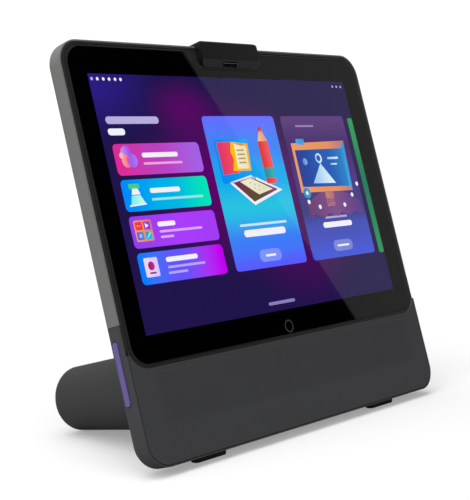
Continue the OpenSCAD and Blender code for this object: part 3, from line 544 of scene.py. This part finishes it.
def finishes():
    """One material for each material slot of the CAD part."""
    tone = colours()
    return {
        "cover_grey": moulded_abs("abs_light_grey", tone.cover, 0.5),
        "housing_charcoal": moulded_abs("abs_charcoal", tone.housing, 0.52),
        "grille_charcoal": moulded_abs("abs_grille", tone.grille, 0.6),
        "ring_black": moulded_abs("abs_satin_ring", tone.ring, 0.34, depth=0.004),
        "cover_glass": printed_glass("glass_printed"),
        "print_grey": moulded_abs("ink_grey", "#39393b", 0.5, depth=0.003),
        "adhesive": rubber("acrylic_foam_tape", "#141414"),
        "screen": moulded_abs("lcd_polariser", "#0c0b12", 0.18, depth=0.002, coat=0.5),
        "light_guide": moulded_abs("acrylic_light_guide", "#d9dad5", 0.2, depth=0.003, ior=1.49),
        "flex": moulded_abs("polyimide_film", "#a4641f", 0.3, depth=0.004, ior=1.7),
        "mid_metal": worked_metal("magnesium_die_cast", "#a2a4a8", 0.42, streak=1.5),
        "circuit": solder_mask("board_solder_mask", "#0d4d28"),
        "chip": moulded_abs("epoxy_moulding", "#1c1c1e", 0.55, grain=0.3),
        "can_steel": worked_metal("tinned_steel", "#b9babc", 0.3),
        "graphite": worked_metal("copper_foil", "#b87448", 0.35),
        "gold": worked_metal("gold_plate", "#d8b45c", 0.25),
        "lens_glass": moulded_abs("coated_lens", "#0a0d18", 0.06, depth=0.001, coat=1.0),
        "rubber_black": rubber("silicone_black", "#242426"),
        "basket_steel": worked_metal("pressed_steel_basket", "#66676b", 0.4),
        "cone_paper": rubber("pulp_cone", "#1b1b1d"),
        "magnet": worked_metal("nickel_plate_magnet", "#8f9195", 0.25, streak=2.0),
        "key_purple": moulded_abs("abs_purple_satin", tone.key, 0.38, depth=0.005),
        "pod_charcoal": moulded_abs("abs_pod", tone.pod, 0.5),
        "tray_plastic": moulded_abs("abs_tray", "#2a2a2c", 0.5),
        "cell_wrap": shrink_film("pvc_shrink_film", "#2257a0"),
        "lead_wrap": moulded_abs("pvc_insulation", "#7c1414", 0.4, depth=0.003),
        "hood_black": moulded_abs("abs_hood_black", tone.hood, 0.34, depth=0.006),
        "mirror": worked_metal("silvered_glass", "#6c7074", 0.04, streak=1.0),
        "screw_steel": worked_metal("zinc_plated_steel", "#a5a6aa", 0.3),
    }


FINISH = {}


class DISPLAY_OT_finishes(bpy.types.Operator):
    """Give every CAD part its finish"""

    bl_idname = "display.finishes"
    bl_label = "Finishes"

    def execute(self, context):
        FINISH.update(finishes())
        parts = frame["nodes"]
        for node, part in parts.items():
            for held in part.material_slots:
                slot = held.material.name.split(".")[0]
                if slot not in FINISH:
                    raise RuntimeError(f"{node} has no finish for its slot {slot}")
                held.material = FINISH[slot]
        panel = moulded_abs("abs_front_panel", colours().panel, 0.55)
        for held in parts["front_panel"].material_slots:
            held.material = panel
        return {"FINISHED"}


# ---------------------------------------------------------------- softened mouldings


def inside(point, levels):
    """Whether a point lies in a field of the slab, given as u, w and v levels in millimetres."""
    local = (point - slab_origin()) / MM
    across, _, up = axes()
    (u0, u1), _, (v0, v1) = levels
    return u0 - 1 < local.dot(across) < u1 + 1 and v0 - 1 < local.dot(up) < v1 + 1


def softened(node, width, sharp=None):
    """A copy of a CAD part with its loose triangles merged into faces and its edges rounded.
    Edges in the field of the node `sharp` stay as they are."""
    source = frame["nodes"][node]
    field = slab_levels(sharp) if sharp else None
    mesh = source.data.copy()
    work = bmesh.new()
    work.from_mesh(mesh)
    bmesh.ops.remove_doubles(work, verts=work.verts, dist=0.002 * MM)
    bmesh.ops.dissolve_limit(
        work, angle_limit=math.radians(0.4), verts=work.verts, edges=work.edges,
        use_dissolve_boundaries=False,
    )
    weight = work.edges.layers.float.new("bevel_weight_edge")
    for edge in work.edges:
        turn = edge.calc_face_angle(0.0)
        middle = (edge.verts[0].co + edge.verts[1].co) / 2
        edge[weight] = float(turn > ROUNDED_ANGLE and not (field and inside(middle, field)))
    work.to_mesh(mesh)
    work.free()
    piece = add_object(f"{node}_softened", mesh)
    rounding = piece.modifiers.new("Moulded edge", "BEVEL")
    rounding.width = width
    rounding.segments = 2
    rounding.limit_method = "WEIGHT"
    rounding.use_clamp_overlap = True
    rounding.miter_outer = "MITER_ARC"
    mesh.shade_smooth()
    flatten = piece.modifiers.new("Flat faces", "WEIGHTED_NORMAL")
    flatten.mode = "FACE_AREA"
    context = bpy.context.evaluated_depsgraph_get()
    final = bpy.data.meshes.new_from_object(piece.evaluated_get(context))
    piece.modifiers.clear()
    piece.data = final
    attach(piece, source["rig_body"])
    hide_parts(node)
    return piece


class DISPLAY_OT_mouldings(bpy.types.Operator):
    """Round the edges of the ring, front panel, key and hood"""

    bl_idname = "display.mouldings"
    bl_label = "Mouldings"

    def execute(self, context):
        radius = sizes().edge_round
        for node, share, slot, sharp in (
            ("front_panel", 1.0, "housing_charcoal", "grille"),
            ("bezel_ring", 0.6, "ring_black", None),
            ("camera_tab", 0.6, "ring_black", None),
            ("side_key", 0.8, "key_purple", None),
            ("hood_shell", 1.2, "hood_black", None),
        ):
            softened(node, radius * share, sharp=sharp)
        return {"FINISHED"}


class DISPLAY_OT_cover_glass(bpy.types.Operator):
    """Build the cover glass with its ground edge and clear back"""

    bl_idname = "display.cover_glass"
    bl_label = "Cover glass"

    def execute(self, context):
        piece = softened("cover_glass", sizes().glass_round)
        mesh = piece.data
        mesh.materials.append(clear_back("glass_bonded_back"))
        back = axes()[1]
        for face in mesh.polygons:
            if face.normal.dot(back) > 0.9:
                face.material_index = len(mesh.materials) - 1
        return {"FINISHED"}


# ---------------------------------------------------------------- grille


def grille_tree():
    """Geometry Nodes tree that lays a pierced tile over a field."""
    tree = bpy.data.node_groups.new("Perforated field", "GeometryNodeTree")
    face = tree.interface
    face.new_socket("Geometry", in_out="INPUT", socket_type="NodeSocketGeometry")
    for name, kind in (
        ("Field width", "NodeSocketFloat"),
        ("Field height", "NodeSocketFloat"),
        ("Columns", "NodeSocketInt"),
        ("Rows", "NodeSocketInt"),
        ("Tile", "NodeSocketObject"),
        ("Finish", "NodeSocketMaterial"),
    ):
        face.new_socket(name, in_out="INPUT", socket_type=kind)
    face.new_socket("Geometry", in_out="OUTPUT", socket_type="NodeSocketGeometry")
    given = put(tree, "NodeGroupInput")
    grid = put(
        tree, "GeometryNodeMeshGrid",
        {"Size X": given.outputs["Field width"], "Size Y": given.outputs["Field height"],
         "Vertices X": given.outputs["Columns"], "Vertices Y": given.outputs["Rows"]},
    )
    tile = put(tree, "GeometryNodeObjectInfo", {"Object": given.outputs["Tile"]})
    laid = put(
        tree, "GeometryNodeInstanceOnPoints",
        {"Points": grid.outputs["Mesh"], "Instance": tile.outputs["Geometry"]},
    )
    real = put(tree, "GeometryNodeRealizeInstances", {"Geometry": laid.outputs["Instances"]})
    whole = put(tree, "GeometryNodeJoinGeometry")
    tree.links.new(given.outputs["Geometry"], whole.inputs["Geometry"])
    tree.links.new(real.outputs["Geometry"], whole.inputs["Geometry"])
    finished = put(
        tree, "GeometryNodeSetMaterial",
        {"Geometry": whole.outputs["Geometry"], "Material": given.outputs["Finish"]},
    )
    result = put(tree, "NodeGroupOutput")
    tree.links.new(finished.outputs["Geometry"], result.inputs["Geometry"])
    return tree


def pierced_tile(width, height, depth, hole):
    """One square of the grille with a round hole through it, lying in x and y."""
    work = bmesh.new()
    rings = []
    for z in (0.0, -depth):
        outer, inner = [], []
        for i in range(HOLE_SIDES):
            a = 2 * math.pi / HOLE_SIDES * i
            c, s = math.cos(a), math.sin(a)
            stretch = 1 / max(abs(c), abs(s))
            outer.append(work.verts.new((c * stretch * width / 2, s * stretch * height / 2, z)))
            inner.append(work.verts.new((c * hole / 2, s * hole / 2, z)))
        rings.append((outer, inner))
    (outer, inner), (under_outer, under_inner) = rings
    for i in range(HOLE_SIDES):
        j = (i + 1) % HOLE_SIDES
        work.faces.new((outer[i], outer[j], inner[j], inner[i]))
        work.faces.new((under_outer[j], under_outer[i], under_inner[i], under_inner[j]))
        work.faces.new((inner[i], inner[j], under_inner[j], under_inner[i]))
    mesh = bpy.data.meshes.new("pierced_tile")
    work.to_mesh(mesh)
    work.free()
    return add_object("pierced_tile", mesh)


def grille_rim(half_u, half_v, field_u, field_v, radius, depth):
    """Plain frame round the perforated field, with a rounded outline."""
    outer = rounded(-half_u, half_u, -half_v, half_v, radius)
    inner = []
    for x, y in outer:
        inner.append((max(-field_u, min(field_u, x * 4)), max(-field_v, min(field_v, y * 4))))
    work = bmesh.new()
    loops = [
        [work.verts.new((x, y, z)) for x, y in line] for z in (0.0, -depth) for line in (outer, inner)
    ]
    top, hole, under, under_hole = loops
    count = len(outer)
    for i in range(count):
        j = (i + 1) % count
        work.faces.new((top[i], top[j], hole[j], hole[i]))
        work.faces.new((under[j], under[i], under_hole[i], under_hole[j]))
        work.faces.new((top[j], top[i], under[i], under[j]))
    bmesh.ops.remove_doubles(work, verts=work.verts, dist=0.0005 * MM)
    bmesh.ops.recalc_face_normals(work, faces=work.faces)
    mesh = bpy.data.meshes.new("grille_rim")
    work.to_mesh(mesh)
    work.free()
    return add_object("grille_perforated", mesh)


class DISPLAY_OT_grille(bpy.types.Operator):
    """Build the perforated grille over the speakers"""

    bl_idname = "display.grille"
    bl_label = "Grille"

    def execute(self, context):
        wanted = sizes()
        (u0, u1), (w0, w1), (v0, v1) = slab_levels("grille")
        grown = wanted.grille_gap - wanted.grille_seam
        half_u, half_v = (u1 - u0) / 2 * MM + grown, (v1 - v0) / 2 * MM + grown
        depth = (w1 - w0) * MM
        field_u = half_u - wanted.grille_frame
        field_v = half_v - wanted.grille_frame
        columns = round(2 * field_u / wanted.hole_pitch)
        rows = round(2 * field_v / wanted.hole_pitch)
        step_u, step_v = 2 * field_u / columns, 2 * field_v / rows
        tile = pierced_tile(step_u, step_v, depth, wanted.hole_pitch * wanted.hole_share)
        piece = grille_rim(half_u, half_v, field_u, field_v, wanted.grille_corner, depth)
        tree = grille_tree()
        field = piece.modifiers.new("Perforated field", "NODES")
        field.node_group = tree
        values = {
            "Field width": 2 * field_u - step_u,
            "Field height": 2 * field_v - step_v,
            "Columns": columns,
            "Rows": rows,
            "Tile": tile,
            "Finish": FINISH["grille_charcoal"],
        }
        for socket in tree.interface.items_tree:
            if socket.in_out == "INPUT" and socket.name in values:
                field[socket.identifier] = values[socket.name]
        final = bpy.data.meshes.new_from_object(
            piece.evaluated_get(bpy.context.evaluated_depsgraph_get())
        )
        piece.modifiers.clear()
        piece.data = final
        bpy.data.objects.remove(tile)
        across, back, up = axes()
        centre = on_slab((u0 + u1) / 2, w0, (v0 + v1) / 2)
        for vertex in final.vertices:
            x, y, z = vertex.co
            vertex.co = centre + across * x + up * y - back * z
        work = bmesh.new()
        work.from_mesh(final)
        bmesh.ops.remove_doubles(work, verts=work.verts, dist=0.002 * MM)
        bmesh.ops.recalc_face_normals(work, faces=work.faces)
        work.to_mesh(final)
        work.free()
        if not final.polygons or len(final.materials) == 0:
            raise RuntimeError("the grille came out empty")
        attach(piece, "display")
        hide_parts("grille")
        return {"FINISHED"}


# ---------------------------------------------------------------- picture


def shapes_piece(name, shapes, level):
    """Flat lit shapes at one level in front of the LCD. A shape is (points, material)."""
    mesh = bpy.data.meshes.new(name)
    work = bmesh.new()
    layer = work.loops.layers.uv.new("picture")
    materials = []
    for points, material in shapes:
        if material not in materials:
            materials.append(material)
        us = [p[0] for p in points]
        vs = [p[1] for p in points]
        face = work.faces.new([work.verts.new(on_slab(u, level, v)) for u, v in points])
        face.normal_update()
        if face.normal.dot(axes()[1]) > 0:
            face.normal_flip()
        face.material_index = materials.index(material)
        span_u, span_v = max(us) - min(us), max(vs) - min(vs)
        for loop in face.loops:
            local = loop.vert.co - slab_origin()
            loop[layer].uv = (
                (local.dot(axes()[0]) / MM - min(us)) / span_u,
                (local.dot(axes()[2]) / MM - min(vs)) / span_v,
            )
    bmesh.ops.triangulate(work, faces=work.faces, ngon_method="EAR_CLIP")
    work.to_mesh(mesh)
    work.free()
    for material in materials:
        mesh.materials.append(material)
    piece = add_object(name, mesh)
    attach(piece, "display")
    return piece


def bar(u0, u1, v, height):
    """A short rounded bar that stands for a line of writing."""
    return rounded(u0, u1, v - height / 2, v + height / 2, height / 2 - 0.01)


class DISPLAY_OT_picture(bpy.types.Operator):
    """Draw the lit home screen: wallpaper, cards, plain icons and bars"""

    bl_idname = "display.picture"
    bl_label = "Picture"

    def execute(self, context):
        white = lit("lit_white", "#f4f2fb")
        soft = lit("lit_soft_line", "#c9a9e6")
        half_u = sizes().screen_width / 2 / MM
        half_v = sizes().screen_height / 2 / MM
        ground = rounded(-half_u, half_u, -half_v, half_v, 1.2)
        shapes_piece("picture_wallpaper", [(ground, wallpaper("lit_wallpaper"))], -0.03)
        self.cards(white, soft)
        self.centre_card(white)
        self.right_card(white)
        small = [(disc(u, 65.2, 0.9), soft if i == 0 else white) for i, u in
                 enumerate((-105.3, -101.5, -97.4, -93.4, -89.3, -85.4))]
        small += [(disc(u, 64.6, 0.8), soft) for u in (96.2, 100.4, 104.6)]
        small += [
            (bar(-102.3, -64.5, 43.2, 4.0), lit("lit_greeting", "#b9aee0")),
            (bar(-102.4, -90.6, 37.0, 3.6), white),
            (bar(-11.5, 11.5, -63.4, 1.8), lit("lit_nav_bar", "#8d7fc0")),
        ]
        shapes_piece("picture_status", small, -0.06)
        return {"FINISHED"}

    def cards(self, white, soft):
        ramps = (
            ((13.9, 30.6), [(0.0, "#df2c98"), (0.45, "#bf3fc0"), (1.0, "#a561e6")]),
            ((-5.0, 11.6), [(0.0, "#008cff"), (0.5, "#00b4e8"), (1.0, "#04e6b8")]),
            ((-24.2, -7.5), [(0.0, "#9440ee"), (0.6, "#ab3cff"), (1.0, "#a53cf6")]),
            ((-43.0, -26.6), [(0.0, "#0a7cff"), (0.45, "#6454fa"), (1.0, "#c400f4")]),
        )
        backs, marks = [], []
        tints = [
            lit(f"lit_subline_{number + 1}", tint)
            for number, tint in enumerate(("#f0a4d6", "#96e6ee", "#dcaafa", "#b4a8fb"))
        ]
        lines = (
            ((24.3, -82.5, -56.0, 2.6), (19.8, -82.5, -53.8, 1.3)),
            ((5.3, -82.5, -60.3, 2.6), (0.6, -82.4, -43.8, 1.3)),
            ((-12.6, -82.6, -69.5, 2.6), (-16.5, -82.2, -50.2, 1.3), (-19.4, -82.1, -72.4, 1.3)),
            ((-31.4, -82.3, -58.6, 2.6), (-35.4, -82.0, -54.0, 1.3), (-38.4, -82.3, -68.0, 1.3)),
        )
        for number, ((v0, v1), stops) in enumerate(ramps):
            card = lit_picture(f"lit_card_{number + 1}", stops)
            backs.append((rounded(-101.8, -38.4, v0, v1, 2.6), card))
            for first, (v, u0, u1, height) in enumerate(lines[number]):
                marks.append((bar(u0, u1, v, height), tints[number] if first else white))
        shapes_piece("picture_cards", backs, -0.06)
        shapes_piece("picture_card_lines", marks, -0.09)
        rose = lit("lit_rose_ball", "#ff9aa0", "#ff5a78")
        mauve = lit("lit_mauve_ball", "#c58af0", "#9a4fe0")
        peach = lit("lit_peach_ball", "#ffd0b8", "#f8a0b0")
        orange = lit("lit_orange", "#ff9a52", "#ff7a4a")
        red = lit("lit_red_tile", "#f04048", "#e63a5c")
        violet = lit("lit_violet_tile", "#9a4ad0", "#8848d8")
        blue = lit("lit_blue_tile", "#4a68d8", "#3a90d8")
        teal = lit("lit_teal_tile", "#16a8dc", "#20c0d8")
        mint = lit("lit_mint", "#7ef0e8", "#b8fff0")
        green = lit("lit_green", "#4ad060", "#40c8a0")
        paper = lit("lit_paper", "#f2d6f4", "#e0c8f8")
        low = [
            (disc(-93.2, 25.6, 3.9), mauve),
            (rounded(-99.2, -86.9, -20.8, -9.7, 1.0), orange),
            ([(-97.6, -1.7), (-87.2, -1.2), (-89.9, 3.4), (-96.0, 3.2)], mint),
            (rounded(-98.0, -88.4, -39.3, -29.3, 0.8), paper),
        ]
        high = [
            (disc(-90.1, 21.6, 3.7), lit("lit_violet_ball", "#8a52f0", "#a878ff")),
            (disc(-93.9, 21.4, 3.4), rose),
            (disc(-96.6, 24.4, 1.7), peach),
            (rounded(-96.9, -89.3, 6.8, 9.4, 0.6), green),
            ([(-95.8, 3.6), (-89.5, 3.8), (-91.4, 7.6), (-94.5, 7.6)], white),
            ([(-98.9, -2.4), (-86.8, -1.8), (-86.9, -1.1), (-98.6, -1.6)], white),
            (rounded(-98.4, -93.6, -14.8, -10.5, 0.5), red),
            (rounded(-92.6, -87.8, -14.8, -10.5, 0.5), violet),
            (rounded(-98.4, -93.6, -20.0, -15.7, 0.5), blue),
            (rounded(-92.6, -87.8, -20.0, -15.7, 0.5), teal),
            (disc(-93.4, -33.6, 2.3), lit("lit_plum_disc", "#a01c70", "#c02a90")),
            (bar(-95.4, -90.8, -37.3, 0.9), lit("lit_plum_line", "#7a2c90")),
        ]
        top = [
            ([(-91.5, -13.9), (-89.0, -12.7), (-91.5, -11.4)], white),
            (bar(-97.5, -94.6, -12.6, 0.7), orange),
            (disc(-96.0, -17.8, 1.1), soft),
            ([(-91.9, -19.1), (-91.3, -19.3), (-88.6, -16.6), (-89.2, -16.3)], mint),
        ]
        shapes_piece("picture_icons_low", low, -0.09)
        shapes_piece("picture_icons", high, -0.12)
        shapes_piece("picture_icons_top", top, -0.15)

    def centre_card(self, white):
        back = lit_picture(
            "lit_centre_card",
            [(0.0, "#5a5cff"), (0.16, "#3f7cfb"), (0.4, "#28c4e4"), (0.6, "#12aaee"), (0.8, "#3c86f6"),
             (1.0, "#6470ff")],
            down=True,
        )
        low = [
            (rounded(-25.8, 2.6, 6.4, 31.8, 1.5), lit("lit_blue_folder", "#0a8cf0", "#12a4f4")),
            ([(-20.4, 6.9), (-3.2, -7.0), (23.6, 0.9), (-0.8, 10.6)], white),
            (rounded(11.4, 20.4, 5.0, 30.5, 1.4), lit("lit_crayon", "#d8322e", "#f2545a")),
            (bar(-20.2, 20.4, -17.9, 1.4), lit("lit_pale_line", "#c8e8fa")),
            (bar(-18.2, 17.8, -22.7, 4.0), white),
            (rounded(-9.6, 9.4, -39.7, -32.6, 3.5), lit("lit_pill_1", "#7c98ff", "#7e90ff")),
        ]
        mid = [
            ([(-23.6, 11.4), (-9.9, 12.2), (-9.1, 30.1), (-23.8, 30.2)],
             lit_picture("lit_red_sheet", [(0.0, "#e03a6a"), (0.7, "#f4485c"), (1.0, "#f8606a")])),
            ([(-17.4, 6.6), (-3.1, -5.0), (19.8, 1.3), (-1.6, 9.2)],
             lit_picture("lit_plum_sheet", [(0.0, "#7a2c58"), (0.5, "#5a5030"), (1.0, "#8c3a80")])),
            (rounded(11.4, 20.4, 8.2, 14.2, 0.3), lit("lit_crayon_band", "#1c8c98", "#30b0b0")),
            ([(11.6, 30.2), (20.2, 30.2), (17.2, 36.6), (14.6, 36.6)],
             lit("lit_crayon_cone", "#f8b890", "#e89a78")),
            (disc(15.9, 37.2, 1.9), lit("lit_crayon_tip", "#b8303a", "#d84a50")),
            (bar(-4.4, 4.6, -36.2, 1.3), white),
        ]
        high = [
            ([(-14.8, 13.4), (0.4, 13.1), (1.9, 28.9), (-12.0, 30.2), (-13.8, 24.5), (-12.4, 20.0)],
             lit("lit_yellow_sheet", "#ffc400", "#f6b400")),
            ([(-11.6, 7.0), (2.2, -1.0), (15.2, 1.7), (-2.2, 8.9)],
             lit("lit_cream_sheet", "#f4ecd0", "#e8e4c0")),
        ]
        top = [
            ([(-10.6, 14.6), (-1.0, 14.3), (0.2, 27.4), (-9.6, 29.0)],
             lit("lit_cream_page", "#f6eecb", "#f0e4b4")),
            (bar(-8.0, -2.0, 28.4, 1.6), lit("lit_orange_line", "#e88a20")),
        ]
        top += [(disc(u, v, 0.45, 10), lit("lit_cream_mark", "#a8a890"))
                for u, v in ((-3.0, 6.0), (0.5, 5.0), (4.0, 4.0), (0.0, 2.8), (3.5, 1.8), (7.5, 2.6))]
        lines = [(bar(-8.6, -2.2, v, 0.9), lit("lit_page_line", "#b49a6a"))
                 for v in (25.2, 22.8, 20.4, 18.0)]
        shapes_piece("picture_centre_card", [(rounded(-31.1, 30.6, -43.1, 45.3, 2.4), back)], -0.06)
        shapes_piece("picture_centre_low", low, -0.08)
        shapes_piece("picture_centre_mid", mid, -0.1)
        shapes_piece("picture_centre_high", high, -0.12)
        shapes_piece("picture_centre_top", top, -0.14)
        shapes_piece("picture_centre_lines", lines, -0.16)

    def right_card(self, white):
        back = lit_picture(
            "lit_right_card",
            [(0.0, "#4658d8"), (0.2, "#4450b8"), (0.34, "#3c3a80"), (0.5, "#4a3284"), (0.78, "#44266c"),
             (1.0, "#5a3a7c")],
            down=True,
        )
        strip = lit_picture(
            "lit_green_strip", [(0.0, "#2a9458"), (0.5, "#187858"), (1.0, "#2c9a5c")], down=True
        )
        hill = lit_picture("lit_hill", [(0.0, "#6a3a78"), (0.5, "#7c4a86"), (1.0, "#5c3a88")])
        orange = lit_picture("lit_easel", [(0.0, "#f29a5c"), (0.6, "#e8925c"), (1.0, "#c07a78")])
        sky = lit_picture("lit_board", [(0.0, "#183c98"), (0.6, "#1458b4"), (1.0, "#1c80c8")])
        frost = lit("lit_frost", "#9ccaf4", "#dcf2ff")
        blue = lit("lit_tag", "#3aa8e4", "#2c90d8")
        hills = [(43.0 + 52.6 * i / 20, -9.5 + 8.8 * math.sin(math.pi * i / 20)) for i in range(21)]
        hills += [(96.6 - 52 * i / 12, -17.0 + 1.3 * ((i * 7) % 3 - 1)) for i in range(13)]
        low = [
            (hills, hill),
            ([(62.5, -11.3), (70.6, -11.3), (71.6, -2.6), (63.0, -2.6)], orange),
            (bar(49.3, 67.0, 39.0, 1.1), lit("lit_dim_line", "#9a86b4")),
            (bar(57.2, 79.0, -18.3, 1.3), lit("lit_dim_line_2", "#b6a6cc")),
            (bar(53.7, 82.3, -22.8, 3.4), white),
            (rounded(59.0, 77.8, -39.4, -32.6, 3.3), lit("lit_pill_2", "#7c88dc", "#7a84d8")),
        ]
        mid = [
            ([(40.6, -2.0), (91.2, -2.7), (93.6, 29.3), (41.2, 28.4)], orange),
            (bar(62.6, 74.4, -36.0, 1.2), white),
            (rounded(46.4, 54.2, 27.2, 31.0, 0.6), blue),
        ]
        mid += [(disc(u, v, 1.35), white) for u, v in
                ((97.0, 1.2), (89.4, -5.5), (79.6, -11.4), (54.9, -11.4), (45.4, -7.8))]
        high = [([(43.2, 1.4), (89.0, 0.1), (90.9, 24.4), (43.4, 24.1)], sky),
                ([(88.2, 24.6), (92.2, 27.9), (93.6, 29.3), (91.4, -2.7), (88.7, 0.0)], blue)]
        top = [
            ([(54.0, 3.2), (76.0, 2.6), (65.0, 15.4)], frost),
            (disc(64.4, 18.6, 3.2), frost),
            (bar(73.0, 84.0, 18.4, 1.4), frost),
            (bar(75.0, 81.5, 14.6, 1.0), frost),
            (disc(50.6, 16.8, 2.2), lit("lit_frost_2", "#5c86dc", "#7ca8f0")),
            (rounded(42.0, 49.0, -5.6, 0.8, 3.1), lit("lit_badge", "#1f8cc0", "#2aa0d0")),
        ]
        last = [(disc(64.4, 18.6, 1.9), sky), (disc(45.5, -2.4, 1.2), white)]
        shapes_piece("picture_right_card", [
            (rounded(36.8, 98.9, -43.1, 45.3, 2.4), back),
            (rounded(103.4, 108.4, -43.8, 43.9, 1.2), strip),
        ], -0.06)
        shapes_piece("picture_right_low", low, -0.08)
        shapes_piece("picture_right_mid", mid, -0.1)
        shapes_piece("picture_right_high", high, -0.12)
        shapes_piece("picture_right_top", top, -0.14)
        shapes_piece("picture_right_last", last, -0.16)


# ---------------------------------------------------------------- stage


def flat(name, corners, material):
    """A flat stage piece through its corners."""
    mesh = bpy.data.meshes.new(name)
    mesh.from_pydata([tuple(c) for c in corners], [], [tuple(range(len(corners)))])
    mesh.materials.append(material)
    piece = add_object(name, mesh)
    return piece


def card_light(name, level):
    """Painted studio card: an even, slightly uneven tone that the glass mirrors."""
    material, tree, output = blank(name)
    place = put(tree, "ShaderNodeTexCoord").outputs["Object"]
    wash = put(tree, "ShaderNodeTexNoise", {"Vector": place, "Scale": 2.0})
    tone = put(
        tree, "ShaderNodeMapRange",
        {"Value": wash.outputs["Fac"], "To Min": level * 0.97, "To Max": level * 1.03},
    )
    glow = put(
        tree, "ShaderNodeEmission",
        {"Color": (1.0, 0.985, 0.95, 1), "Strength": tone.outputs["Result"]},
    )
    tree.links.new(glow.outputs["Emission"], output.inputs["Surface"])
    return material


def area_light(name, place, aim, size, power):
    data = bpy.data.lights.new(name, "AREA")
    data.shape = "RECTANGLE"
    data.size, data.size_y = size
    data.energy = power
    lamp = bpy.data.objects.new(name, data)
    bpy.context.scene.collection.objects.link(lamp)
    lamp.location = place
    lamp.rotation_euler = (Vector(aim) - Vector(place)).to_track_quat("-Z", "Y").to_euler()


class DISPLAY_OT_stage(bpy.types.Operator):
    """Set the floor, the soft lights, the cards mirrored in the glass, and the camera"""

    bl_idname = "display.stage"
    bl_label = "Stage"

    def execute(self, context):
        scene = context.scene
        scene.view_settings.view_transform = "Standard"
        scene.view_settings.look = "None"
        reach = 4.0
        flat(
            "stage_floor",
            [(-reach, -reach, 0), (reach, -reach, 0), (reach, reach, 0), (-reach, reach, 0)],
            studio_floor("vinyl_sweep", colours().floor),
        )
        self.camera(scene)
        self.cards(scene)
        self.world(scene)
        centre = (0.0, 0.0, 0.1)
        area_light("light_top", (-0.25, 0.1, 1.35), centre, (1.5, 1.5), 17.0)
        area_light("light_left", (-1.25, -0.05, 0.75), centre, (0.7, 0.9), 6.5)
        area_light("light_front", (-0.5, -1.5, 1.0), centre, (1.0, 0.8), 2.8)
        return {"FINISHED"}

    def camera(self, scene):
        data = bpy.data.cameras.new("camera")
        data.lens = 86.34
        data.sensor_width = 36.0
        data.clip_start = 0.01
        camera = bpy.data.objects.new("camera", data)
        scene.collection.objects.link(camera)
        camera.location = slab_origin() + Vector((-515.337, -441.519, 43.802)) * MM
        camera.rotation_euler = Vector((0.743, 0.6598, -0.1118)).to_track_quat("-Z", "Y").to_euler()
        scene.camera = camera

    def cards(self, scene):
        """The pale card's edge runs down the glass as a straight line."""
        across, back, up = axes()
        eye = scene.camera.location
        glass = on_slab(0, -1.1, 0)
        mirrored = eye - back * (2 * (eye - glass).dot(back))
        line = ((-35 - 0.59 * 60, 82 + 60), (62 + 0.59 * 60, -82 - 60))
        for name, sign, level in (("stage_card_pale", 1, 0.3), ("stage_card_black", -1, 0.0)):
            corners = [*line] + [(u + sign * 260, v) for u, v in reversed(line)]
            places = []
            for u, v in corners:
                point = on_slab(u, -1.1, v)
                places.append(mirrored + (point - mirrored) * 2.2)
            card = flat(name, places, card_light(f"{name}_paint", level))
            card.visible_camera = False
            card.visible_diffuse = False
            card.visible_shadow = False

    def world(self, scene):
        world = bpy.data.worlds.new("studio")
        scene.world = world
        world.use_nodes = True
        tree = world.node_tree
        tree.nodes.clear()
        path = put(tree, "ShaderNodeLightPath")
        seen = put(tree, "ShaderNodeBackground", {"Color": (1, 1, 1, 1), "Strength": 1.05})
        lighting = put(tree, "ShaderNodeBackground", {"Color": (1, 1, 1, 1), "Strength": 0.27})
        both = put(
            tree, "ShaderNodeMixShader",
            {0: path.outputs["Is Camera Ray"], 1: lighting.outputs["Background"],
             2: seen.outputs["Background"]},
        )
        out = put(tree, "ShaderNodeOutputWorld")
        tree.links.new(both.outputs["Shader"], out.inputs["Surface"])


# ---------------------------------------------------------------- panel


class DISPLAY_PT_panel(bpy.types.Panel):
    """Smart display"""

    bl_idname = "DISPLAY_PT_panel"
    bl_label = "Smart display"
    bl_space_type = "VIEW_3D"
    bl_region_type = "UI"
    bl_category = "Smart display"

    def draw(self, context):
        for group in (context.scene.display_sizes, context.scene.display_colours):
            box = self.layout.box()
            for name in group.__annotations__:
                box.prop(group, name)
        for step in STEPS:
            self.layout.operator(step.bl_idname)


STEPS = (
    DISPLAY_OT_finishes,
    DISPLAY_OT_mouldings,
    DISPLAY_OT_cover_glass,
    DISPLAY_OT_grille,
    DISPLAY_OT_picture,
    DISPLAY_OT_stage,
)
CLASSES = (DisplaySizes, DisplayColours, *STEPS, DISPLAY_PT_panel)


def register():
    for made in CLASSES:
        bpy.utils.register_class(made)
    bpy.types.Scene.display_sizes = bpy.props.PointerProperty(type=DisplaySizes)
    bpy.types.Scene.display_colours = bpy.props.PointerProperty(type=DisplayColours)


def unregister():
    del bpy.types.Scene.display_colours
    del bpy.types.Scene.display_sizes
    for made in reversed(CLASSES):
        bpy.utils.unregister_class(made)


def main():
    register()
    bpy.ops.display.finishes()
    bpy.ops.display.mouldings()
    bpy.ops.display.cover_glass()
    bpy.ops.display.grille()
    bpy.ops.display.picture()
    bpy.ops.display.stage()


if __name__ == "__main__":
    main()
